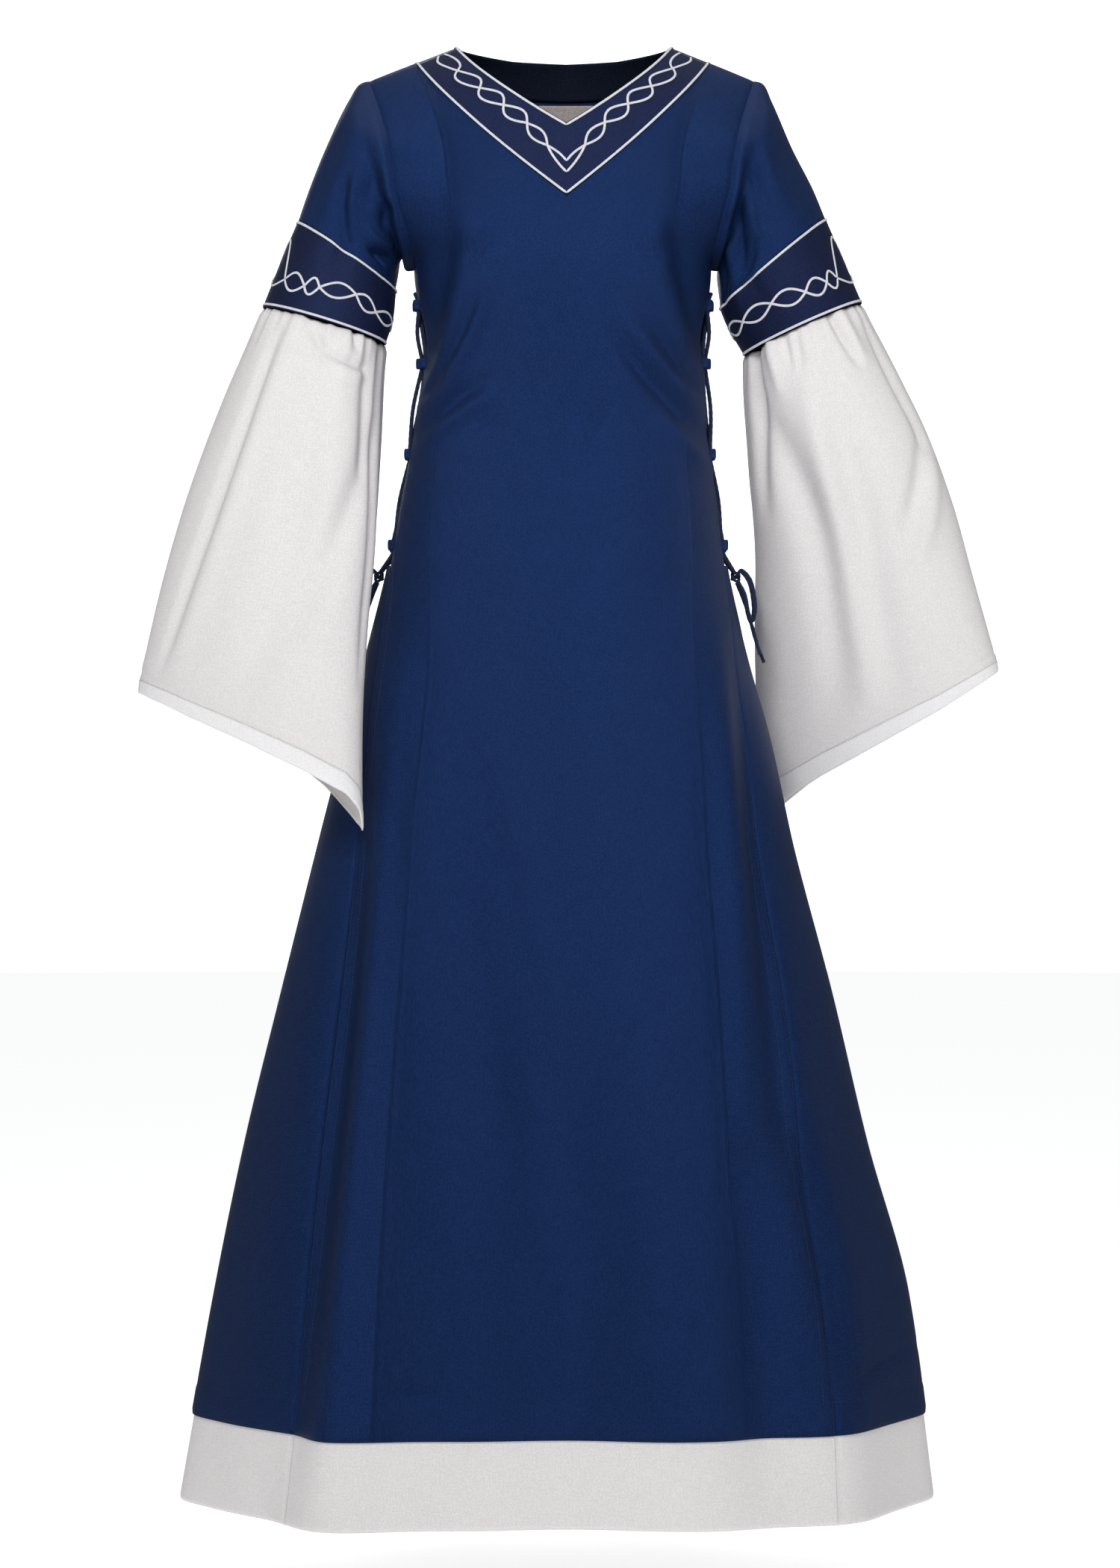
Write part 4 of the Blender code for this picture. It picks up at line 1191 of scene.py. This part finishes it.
for side, side_name in SIDE_NAMES.items():
    rings = [UPPER_RINGS[side][-1], *BAND_RINGS[side]]
    grid = lofted([ring_points(ring, sleeve_angles) for ring in rings], SLEEVE_BAND_ROWS)
    fold_rows = sleeve_folds(upper_grids[side], sleeve_angles, UPPER_FOLDS[side])[FOLDS_MEET]
    normal = outward(grid, side)
    fade = np.linspace(1, 0, SLEEVE_BAND_ROWS)[:, None] ** 1.6
    push = SLEEVE_BAND_OUT + fade * fold_rows[None] * FOLDS_KEPT
    grid = grid + normal * push[..., None]
    normal = outward(grid, side)
    shell = round_from(grid, side)
    piece = cloth(f"sleeve_band_{side_name}_cloth", shell, navy_cotton, closed=True)
    dress(piece, "navy_band", f"sleeve_band_{side_name}")

    around = np.linspace(0, 2 * np.pi, 900)
    crossings = np.radians(WAVE_CROSSINGS[side]["angle"])
    crossings = np.append(crossings, crossings[0] + 2 * np.pi)
    crossing_parts = WAVE_CROSSINGS[side]["part"] + WAVE_CROSSINGS[side]["part"][:1]
    wound = np.sort((around - crossings[0]) % (2 * np.pi) + crossings[0])
    swing = np.interp(wound, crossings, np.arange(len(crossings)) * np.pi)
    middle_part = np.interp(wound, crossings, crossing_parts)
    band_deep = np.linalg.norm(np.diff(grid, axis=0), axis=-1).sum(axis=0).mean()
    cords = [
        on_grid(grid, normal, around, border + 0 * around, STRAND_LIFT)
        for border in SLEEVE_BORDERS
    ]
    for strand in (-1, 1):
        tall = (wound > crossings[-2]) & (strand < 0)
        reach = np.where(tall, TALL_LOOP, SLEEVE_WAVE_HALF / band_deep)
        part = middle_part + strand * reach * np.sin(swing)
        lift = STRAND_LIFT + STRAND_LIFT * strand * np.cos(swing)
        cords.append(on_grid(grid, normal, wound, part, lift))
    laid_cords(f"sleeve_embroidery_{side_name}", cords, embroidery_thread)

# The long sleeves: wide trumpets of natural cotton, gathered into the band above the elbow,
# short on the outside and falling to a long point on the inside, with a stitched hem.
LOWER_RINGS = {
    -1: (
        Ring(-0.3218, -0.020, -0.3079, -0.1853, -0.038, -0.3462, 0.064),
        Ring(-0.3380, -0.023, -0.3455, -0.1864, -0.048, -0.3880, 0.065),
        Ring(-0.3528, -0.026, -0.3831, -0.1875, -0.060, -0.4297, 0.064),
        Ring(-0.3792, -0.032, -0.4581, -0.1903, -0.080, -0.5125, 0.061),
        Ring(-0.4004, -0.038, -0.5329, -0.1967, -0.100, -0.5944, 0.057),
        Ring(-0.4177, -0.042, -0.6075, -0.2004, -0.122, -0.6901, 0.052),
        Ring(-0.4230, -0.044, -0.6320, -0.2000, -0.134, -0.7420, 0.050),
        Ring(-0.4252, -0.045, -0.6514, -0.1992, -0.142, -0.7867, 0.048),
    ),
    1: (
        Ring(0.3214, 0.008, -0.3043, 0.1822, 0.018, -0.3490, 0.064),
        Ring(0.3410, 0.011, -0.3420, 0.1850, 0.026, -0.3900, 0.065),
        Ring(0.3596, 0.014, -0.3792, 0.1875, 0.036, -0.4309, 0.064),
        Ring(0.3885, 0.018, -0.4545, 0.1935, 0.054, -0.5058, 0.061),
        Ring(0.4099, 0.020, -0.5299, 0.1940, 0.074, -0.5887, 0.057),
        Ring(0.4297, 0.022, -0.6000, 0.1975, 0.098, -0.6877, 0.052),
        Ring(0.4340, 0.022, -0.6150, 0.2000, 0.110, -0.7400, 0.050),
        Ring(0.4358, 0.022, -0.6280, 0.2043, 0.118, -0.7798, 0.048),
    ),
}
LOWER_COLUMNS = 168
LOWER_ROWS = 170

# Pleats from the gathered seam: degrees round and shares down at both ends, width, depth, bow
BACK_PLEATS = (
    Crease(0, 205, -0.30, 205, 0.75, 0.0100, 0.0068, 0.003),
    Crease(0, 235, -0.30, 238, 0.95, 0.0110, -0.0076, 0.003),
    Crease(0, 265, -0.30, 262, 0.85, 0.0110, 0.0068, 0.003),
    Crease(0, 298, -0.30, 300, 0.95, 0.0100, -0.0068, 0.002),
    Crease(0, 330, -0.30, 332, 0.80, 0.0100, 0.0059, 0.002),
)
LONG_PLEATS = {
    -1: (
        Crease(0, 51, -0.08, 33, 0.92, 0.0060, -0.0076, -0.013),
        Crease(0, 63, -0.08, 43, 0.92, 0.0100, 0.0046, -0.013),
        Crease(0, 75, -0.15, 88, 0.92, 0.0170, -0.0074, -0.028),
        Crease(0, 160, 0.16, 102, 0.76, 0.0150, -0.0074, 0.000),
        Crease(0, 80, 0.010, 105, 0.066, 0.0045, -0.0041, 0.002),
        Crease(0, 97, 0.060, 148, 0.074, 0.0045, -0.0046, 0.002),
        Crease(0, 97, 0.082, 148, 0.096, 0.0050, 0.0032, 0.002),
        Crease(0, 122, -0.02, 131, 0.048, 0.0035, -0.0038, 0.000),
        Crease(0, 146, -0.03, 152, 0.35, 0.0090, -0.0060, 0.004),
        Crease(0, 168, -0.30, 165, 0.80, 0.0090, -0.0068, 0.000),
        *BACK_PLEATS,
    ),
    1: (
        Crease(0, 152, 0.06, 106, 0.92, 0.0170, -0.0115, 0.024),
        Crease(0, 156, -0.25, 150, 0.42, 0.0100, -0.0101, 0.000),
        Crease(0, 102, 0.06, 92, 0.94, 0.0130, 0.0076, -0.006),
        Crease(0, 88, 0.08, 82, 0.96, 0.0150, -0.0076, -0.002),
        Crease(0, 70, -0.05, 57, 0.140, 0.0045, -0.0065, -0.001),
        Crease(0, 61, -0.05, 49, 0.135, 0.0060, 0.0038, 0.000),
        Crease(0, 34, 0.03, 24, 0.38, 0.0080, -0.0059, 0.000),
        Crease(0, 22, 0.29, 72, 0.57, 0.0100, -0.0062, 0.000),
        Crease(0, 18, 0.36, 66, 0.63, 0.0100, 0.0041, 0.000),
        Crease(0, 116, -0.03, 113, 0.095, 0.0045, -0.0041, 0.000),
        Crease(0, 100, -0.03, 105, 0.115, 0.0040, -0.0035, 0.000),
        Crease(0, 130, -0.03, 124, 0.150, 0.0060, 0.0041, 0.000),
        *BACK_PLEATS,
    ),
}

# How much the long sleeves' hems rise above their slanted line, in mm, by degrees round
HEM_RISE = {
    -1: {
        "angle": (0, 30, 60, 90, 120, 150, 168, 180, 200, 215, 230, 245, 270, 300, 330, 360),
        "rise": (0, 3, 9, 18, 25, 27, 18, 0, 4, 11, 20, 24, 18, 9, 3, 0),
    },
    1: {
        "angle": (0, 60, 90, 120, 150, 180, 210, 240, 270, 300, 360),
        "rise": (0, 0, 5, 10, 9, 0, 1, 8, 4, 0, 0),
    },
}
GATHER_SEED = 7
GATHER_COUNT = 46
GATHER_REACH = (0.014, 0.050)
GATHER_WIDTH = (0.0022, 0.0038)
GATHER_DEPTH = (0.0006, 0.0017)
LONG_HEM_DEEP = 0.020
HEM_FOLD_ROWS = 9
HEM_FOLD_OUT = 0.0005
HEM_FOLD_THICK = 0.0004
LONG_SLEEVE_OUT = 0.0010
double_cotton = woven(
    "double_cotton", (0.745, 0.735, 0.745), (0.82, 0.81, 0.82), 1500, 0.5, 0.9
)

lower_angles = np.linspace(0, 2 * np.pi, LOWER_COLUMNS, endpoint=False)
lower_grids = {}


def small_gathers(grid, seed):
    """Many short uneven puckers just below the seam that the sleeve is gathered into."""
    chance = np.random.RandomState(seed)
    rows = len(grid)
    down = np.linalg.norm(np.diff(grid, axis=0), axis=-1).mean(axis=1).cumsum()
    down = np.concatenate([[0], down])[:, None]
    girth = girths(grid)
    degrees = np.degrees(lower_angles)[None]
    total = np.zeros((rows, len(lower_angles)))
    for k in range(GATHER_COUNT):
        centre = (k + chance.uniform(-0.35, 0.35)) * 360 / GATHER_COUNT
        reach = chance.uniform(*GATHER_REACH)
        width = chance.uniform(*GATHER_WIDTH)
        depth = chance.uniform(*GATHER_DEPTH) * (1 if k % 2 else -1)
        away = ((degrees - centre + 180) % 360 - 180) / 360 * girth
        total += depth * bell(down, reach) * bell(away, width)
    return total


for side, side_name in SIDE_NAMES.items():
    band_last = [ring_points(ring, lower_angles) for ring in BAND_RINGS[side]]
    start = band_last[1] + (band_last[1] - band_last[0]) * 0.02
    rings = [start] + [ring_points(ring, lower_angles) for ring in LOWER_RINGS[side]]
    grid = lofted(rings, LOWER_ROWS)
    rise = np.interp(np.degrees(lower_angles), HEM_RISE[side]["angle"], HEM_RISE[side]["rise"])
    grid[..., 2] += rise[None] / 1000 * np.linspace(0, 1, LOWER_ROWS)[:, None] ** 4
    normal = outward(grid, side)
    push = sleeve_folds(grid, lower_angles, LONG_PLEATS[side])
    push += small_gathers(grid, GATHER_SEED + side)
    lengths = np.linalg.norm(np.diff(grid, axis=0), axis=-1)
    to_hem = np.concatenate([lengths[::-1].cumsum(axis=0)[::-1], np.zeros((1, LOWER_COLUMNS))])
    from_seam = np.concatenate([np.zeros((1, LOWER_COLUMNS)), lengths.cumsum(axis=0)])
    push += hem_step(to_hem - LONG_HEM_DEEP, 0.0004)
    push -= 0.0007 * bell(to_hem - LONG_HEM_DEEP, 0.0024) + 0.0008 * bell(to_hem, 0.0020)
    push += LONG_SLEEVE_OUT - 0.0020 * bell(from_seam, 0.0040)
    grid = grid + normal * push[..., None]
    lower_grids[side] = grid
    normal = outward(grid, side)
    fold_top = 1 - LONG_HEM_DEEP / lengths.sum(axis=0)
    fold_rows = [
        on_grid(grid, normal, lower_angles, fold_top + (1 - fold_top) * row, HEM_FOLD_OUT)[:, :3]
        for row in np.linspace(0.04, 1, HEM_FOLD_ROWS)
    ]
    turned = cloth(
        f"sleeve_hem_{side_name}_cloth",
        round_from(np.array(fold_rows), side),
        double_cotton,
        closed=True,
        thick=HEM_FOLD_THICK,
    )
    dress(turned, "natural_cotton")
    shell = round_from(grid, side)
    piece = cloth(f"lower_sleeve_{side_name}_cloth", shell, natural_cotton, closed=True)
    dress(piece, "natural_cotton", f"lower_sleeve_{side_name}")

# The lacing at each side: loops of folded blue tape sewn along the slit, and a blue cord that
# crosses from one to the next and is tied in a bow at the hip, its two ends hanging free.
LOOP_HEIGHTS = (-0.260, -0.318, -0.410, -0.502)
LOOP_HIGH = 0.0105
LOOP_OUT = 0.0050
LOOP_ACROSS = 0.0031
LOOP_CLEAR = 0.0004
LOOP_SEAT = 0.0012
TAPE_WALL = 0.0010
LACE_RADIUS = 0.0017
DRAWN_LACE_RADIUS = 0.0021
KNOT_LACE_RADIUS = 0.0016
LACE_BULGE = 0.0010
LACE_CROSSING = 0.0019
LACE_DROP = 0.0060
LACE_DROP_OUT = 0.0020
LACE_TOP_RISE = 0.0070
LACE_TOP_OUT = 0.0034
LOOP_REACH = 0.45
KNOT_Z = -0.533
KNOT_OUT = 0.0075
KNOT_ENTRY = (-0.0010, 0.0062, 0.0062)
LACE_SIDES = 12

# Routes from the knot's centre: outward, across (a bow loop's is mirrored), and up
BOW_ROUTE = (
    (0.0010, 0.0058, 0.0010),
    (0.0060, 0.0150, 0.0060),
    (0.0150, 0.0215, -0.0060),
    (0.0190, 0.0235, -0.0300),
    (0.0165, 0.0190, -0.0450),
    (0.0125, 0.0145, -0.0360),
    (0.0090, 0.0120, -0.0180),
    (0.0020, 0.0066, -0.0040),
)
TAIL_ROUTES = {
    "front": (
        (0.0010, -0.0022, -0.0057),
        (0.0075, -0.0040, -0.0200),
        (0.0130, -0.0052, -0.0380),
        (0.0190, -0.0045, -0.0580),
        (0.0240, -0.0060, -0.0780),
    ),
    "back": (
        (0.0010, 0.0025, -0.0057),
        (0.0070, 0.0050, -0.0200),
        (0.0140, 0.0056, -0.0400),
        (0.0200, 0.0070, -0.0620),
        (0.0290, 0.0060, -0.0860),
    ),
}
KNOT_TURNS = 3
KNOT_RADII = (0.0036, 0.0044, 0.0046)
# The second colour is painted shade for the grooves between the lace's strands
lace_cotton = corded(
    "lace_cotton", (0.008, 0.018, 0.060), (0.003, 0.006, 0.024), 420, 2.0, 0.8, 0.8
)
tape_cotton = woven("tape_cotton", (0.010, 0.024, 0.080), (0.017, 0.038, 0.115), 2400, 0.4)


def smooth_path(points, step=0.0012):
    """Evenly spaced points on a smooth curve through the given points."""
    given = np.array(points, float)
    ends = np.concatenate([[2 * given[0] - given[1]], given, [2 * given[-1] - given[-2]]])
    dense = []
    for a, b, c, d in zip(ends, ends[1:], ends[2:], ends[3:]):
        t = np.linspace(0, 1, 25)[:-1, None]
        curve = 2 * b + (c - a) * t + (2 * a - 5 * b + 4 * c - d) * t**2
        dense.append(0.5 * (curve + (3 * b - a - 3 * c + d) * t**3))
    return evenly(np.concatenate(dense + [given[-1:]]), step)


def lace_tube(name, points, radius=LACE_RADIUS):
    """A round cord along a smooth path, its ends closed. Returns the piece and its path."""
    path = smooth_path(points)
    tangent = unit(np.gradient(path, axis=0))
    upright = (0.0, 0.3, 1.0) if abs(tangent[0, 2]) < 0.8 else (0.2, 1.0, 0.0)
    frames = [unit(np.cross(tangent[0], upright))]
    for direction in tangent[1:]:
        frames.append(unit(frames[-1] - direction * frames[-1].dot(direction)))
    across = np.array(frames)
    beside = np.cross(tangent, across)
    length = run_along(path)
    angle = np.linspace(0, 2 * np.pi, LACE_SIDES, endpoint=False)[None, :, None]
    strands = 1 + 0.05 * np.cos(2 * angle + 900 * length[:, None, None])
    ring = path[:, None] + radius * strands * (
        across[:, None] * np.cos(angle) + beside[:, None] * np.sin(angle)
    )
    faces, lengths = cord_faces(length, LACE_SIDES)
    count = len(path) * LACE_SIDES
    for k in range(LACE_SIDES):
        j = (k + 1) % LACE_SIDES
        faces.append([j, k, count])
        faces.append([count - LACE_SIDES + k, count - LACE_SIDES + j, count + 1])
    points = ring.reshape(-1, 3).tolist() + [path[0].tolist(), path[-1].tolist()]
    lengths = np.concatenate([lengths.reshape(-1, 2), np.zeros((LACE_SIDES * 2 * 3, 2))])
    return thread_mesh(name, points, faces, lengths, lace_cotton), path


def loop_middle(side, face, z):
    """The middle of the loop that is sewn to a panel's edge beside the slit."""
    turn = read(PANEL_EDGE, "turn", np.array(z))
    edge = body(side * (90 + face * turn), z, 0.0)
    lateral = LOOP_ACROSS + TAPE_WALL + LOOP_CLEAR
    return edge + np.array([side * LOOP_SEAT, -face * lateral, 0])


def make_loop(name, side, face, z):
    """A short flat tube of tape that the lace runs through."""
    centre = loop_middle(side, face, z)
    angle = np.linspace(0, 2 * np.pi, 28, endpoint=False)
    height, turn = np.meshgrid(np.linspace(0.5, -0.5, 7), angle, indexing="ij")
    bulge = 1 - 0.10 * (2 * height) ** 4
    grid = np.stack(
        [
            centre[0] + (LOOP_OUT + TAPE_WALL) * np.cos(turn) * bulge,
            centre[1] - (LOOP_ACROSS + TAPE_WALL) * np.sin(turn) * bulge,
            centre[2] + LOOP_HIGH * height,
        ],
        axis=-1,
    )
    return cloth(name, grid[:, ::-1], tape_cotton, closed=True, thick=TAPE_WALL * 0.8)


def lace_strand(side, first_face, bulge, knot):
    """One half of the lace: down through a loop of each edge in turn, and into the knot."""
    points = []
    face = first_face
    half_loop = np.array([0, 0, LOOP_HIGH * LOOP_REACH])
    for k, z in enumerate(LOOP_HEIGHTS):
        centre = loop_middle(side, face, z)
        points += [centre + half_loop, centre - half_loop]
        if k + 1 < len(LOOP_HEIGHTS):
            other = loop_middle(side, -face, LOOP_HEIGHTS[k + 1])
            points.append((centre + other) / 2 + np.array([side * bulge, 0, 0]))
        face = -face
    points.append(points[-1] + np.array([side * LACE_DROP_OUT, 0, -LACE_DROP]))
    out, across, up = KNOT_ENTRY
    points.append(knot + np.array([side * out, -face * across * 0.6, up * 0.6]))
    return points


def knot_path(knot, side):
    """The lace wound over itself in a small tight knot."""
    t = np.linspace(0, 2 * np.pi, 40)
    ring = 0.55 + 0.45 * np.cos(KNOT_TURNS * t)
    return np.stack(
        [
            knot[0] + side * KNOT_RADII[0] * np.sin(KNOT_TURNS * t),
            knot[1] + KNOT_RADII[1] * ring * np.cos(2 * t),
            knot[2] + KNOT_RADII[2] * ring * np.sin(2 * t),
        ],
        axis=1,
    )


for side, side_name in SIDE_NAMES.items():
    for face, face_name in FACE_NAMES.items():
        for k, z in enumerate(LOOP_HEIGHTS):
            node = f"loop_{side_name}_{face_name}_{k + 1}"
            dress(make_loop(f"{node}_tape", side, face, z), "lace_cloth", node)
    surface = body(side * 90.0, KNOT_Z, 0.0)
    knot = np.array([surface[0] + side * KNOT_OUT, 0.0, KNOT_Z])
    down = lace_strand(side, -1, LACE_BULGE + LACE_CROSSING, knot)
    other = lace_strand(side, 1, LACE_BULGE - LACE_CROSSING, knot)
    top = (down[0] + other[0]) / 2 + np.array([side * LACE_TOP_OUT, 0, LACE_TOP_RISE])
    lace, _ = lace_tube(f"lace_{side_name}_cord", down[::-1] + [top] + other, DRAWN_LACE_RADIUS)
    dress(lace, "lace_cloth", f"lace_{side_name}")
    tied, _ = lace_tube(f"lace_knot_{side_name}_cord", knot_path(knot, side), KNOT_LACE_RADIUS)
    dress(tied, "lace_cloth", f"lace_knot_{side_name}")
    for face, face_name in FACE_NAMES.items():
        route = [knot + np.array([side * out, face * across, up]) for out, across, up in BOW_ROUTE]
        bow, _ = lace_tube(f"bow_loop_{side_name}_{face_name}_cord", route)
        dress(bow, "lace_cloth", f"bow_loop_{side_name}_{face_name}")
        tail_route = TAIL_ROUTES[face_name]
        route = [knot + np.array([side * out, across, up]) for out, across, up in tail_route]
        tail, tail_path = lace_tube(f"lace_end_{side_name}_{face_name}_cord", route)
        dress(tail, "lace_cloth", f"lace_end_{side_name}_{face_name}")
        round(float(run_along(tail_path)[-1]), 3)

# The topstitching: blue thread along the panels' edges, the gore seams and the blue hem, and
# natural thread along the hems of the long sleeves. Each stitch is its own short bead.
STITCH_LONG = 0.0026
STITCH_PITCH = 0.0036
STITCH_WIDE = 0.00055
STITCH_LIFT = 0.0001
HEM_STITCH_LIFT = -0.0005
EDGE_STITCH_TOP_Z = -0.258
EDGE_STITCH_IN = 0.0125
GORE_STITCH_IN = 0.0022
# In both threads the second colour is painted shade for the grooves between the strands
blue_thread = corded("blue_thread", (0.012, 0.030, 0.095), (0.007, 0.017, 0.060), 900, 1.0, 0.3)
natural_thread = corded("natural_thread", (0.70, 0.68, 0.66), (0.5, 0.48, 0.46), 900, 1.0, 0.3)


# One stitch along its thread: places, and how thick it is there; then its section's corners
STITCH_PLACES = np.array([-0.5, -0.3, 0.3, 0.5]) * STITCH_LONG
STITCH_SWELL = np.array([0.45, 1.0, 1.0, 0.45]) * STITCH_WIDE
STITCH_ACROSS = np.array([-0.5, -0.3, 0.3, 0.5])
STITCH_UP = np.array([0.1, 0.55, 0.55, 0.1])
STITCH_UV = np.array([0, 0, 0, 1, 0.0005, 1, 0.0005, 0], float)


def stitched(name, paths, material, slot):
    """Stitches along paths of points with normals, all in one mesh."""
    points, faces = [], []
    start = 0
    along = STITCH_PLACES[None, :, None, None]
    swell = STITCH_SWELL[None, :, None, None]
    for path in paths:
        path = evenly(path, STITCH_PITCH)[:, None, None]
        centre, normal = path[..., :3], unit(path[..., 3:6])
        tangent = unit(np.gradient(path[:, 0, 0, :3], axis=0))[:, None, None]
        across = np.cross(tangent, normal)
        side_step = across * (STITCH_ACROSS[None, None, :, None] * swell)
        lift = normal * (STITCH_UP[None, None, :, None] * swell)
        grid = centre + tangent * along + side_step + lift
        number = start + np.arange(grid[..., 0].size).reshape(grid.shape[:3])
        corners = [np.s_[:, :-1, :-1], np.s_[:, :-1, 1:], np.s_[:, 1:, 1:], np.s_[:, 1:, :-1]]
        faces += np.stack([number[c].ravel() for c in corners], 1).tolist()
        points.append(grid.reshape(-1, 3))
        start += number.size
    lengths = np.tile(STITCH_UV, len(faces))
    points = np.concatenate(points).tolist()
    return dress(thread_mesh(name, points, faces, lengths, material), slot)


def on_body(place, z, lift):
    """Points on the body's cloth with their normals, for a row of stitches."""
    nudge = 0.15
    point = body(place, z, CLOTH_OUT + lift)
    sideways = body(place + nudge, z) - body(place - nudge, z)
    down = body(place, z - 0.001) - body(place, z + 0.001)
    normal = np.cross(down, sideways)
    normal *= np.sign((normal[:, :2] * point[:, :2]).sum(axis=1, keepdims=True))
    return np.concatenate([point, normal], axis=1)


def inside_edge(side, face, z, distance):
    """Degrees round the body of a line this far in from a panel's long edge."""
    place = side * (90 + face * read(PANEL_EDGE, "turn", z))
    nudge = 0.5 * side * face
    per_degree = np.linalg.norm(body(place + nudge, z) - body(place, z), axis=-1) / 0.5
    return place + side * face * distance / per_degree


seam_rows = []
for side in (-1, 1):
    for face in (-1, 1):
        z = np.linspace(EDGE_STITCH_TOP_Z, HEM_STITCH_Z, 420)
        seam_rows.append(on_body(inside_edge(side, face, z, EDGE_STITCH_IN), z, STITCH_LIFT))
        z = np.linspace(GORE_TOP_Z - 0.004, BLUE_HEM_Z + 0.004, 300)
        seam_rows.append(on_body(inside_edge(side, face, z, GORE_STITCH_IN), z, STITCH_LIFT))
place = np.linspace(-180, 180, 1400)
seam_rows.append(on_body(place, np.full_like(place, HEM_STITCH_Z), HEM_STITCH_LIFT))
stitched("blue_topstitching", seam_rows, blue_thread, "blue_canvas")

sleeve_rows = []
for side in (-1, 1):
    grid = lower_grids[side]
    normal = outward(grid, side)
    lengths = np.linalg.norm(np.diff(grid, axis=0), axis=-1).sum(axis=0)
    around = np.linspace(0, 2 * np.pi, 900)
    hem_part = 1 - LONG_HEM_DEEP / np.interp(around, lower_angles, lengths, period=2 * np.pi)
    sleeve_rows.append(on_grid(grid, normal, around, hem_part, STITCH_LIFT))
stitched("sleeve_hem_stitching", sleeve_rows, natural_thread, "natural_cotton")
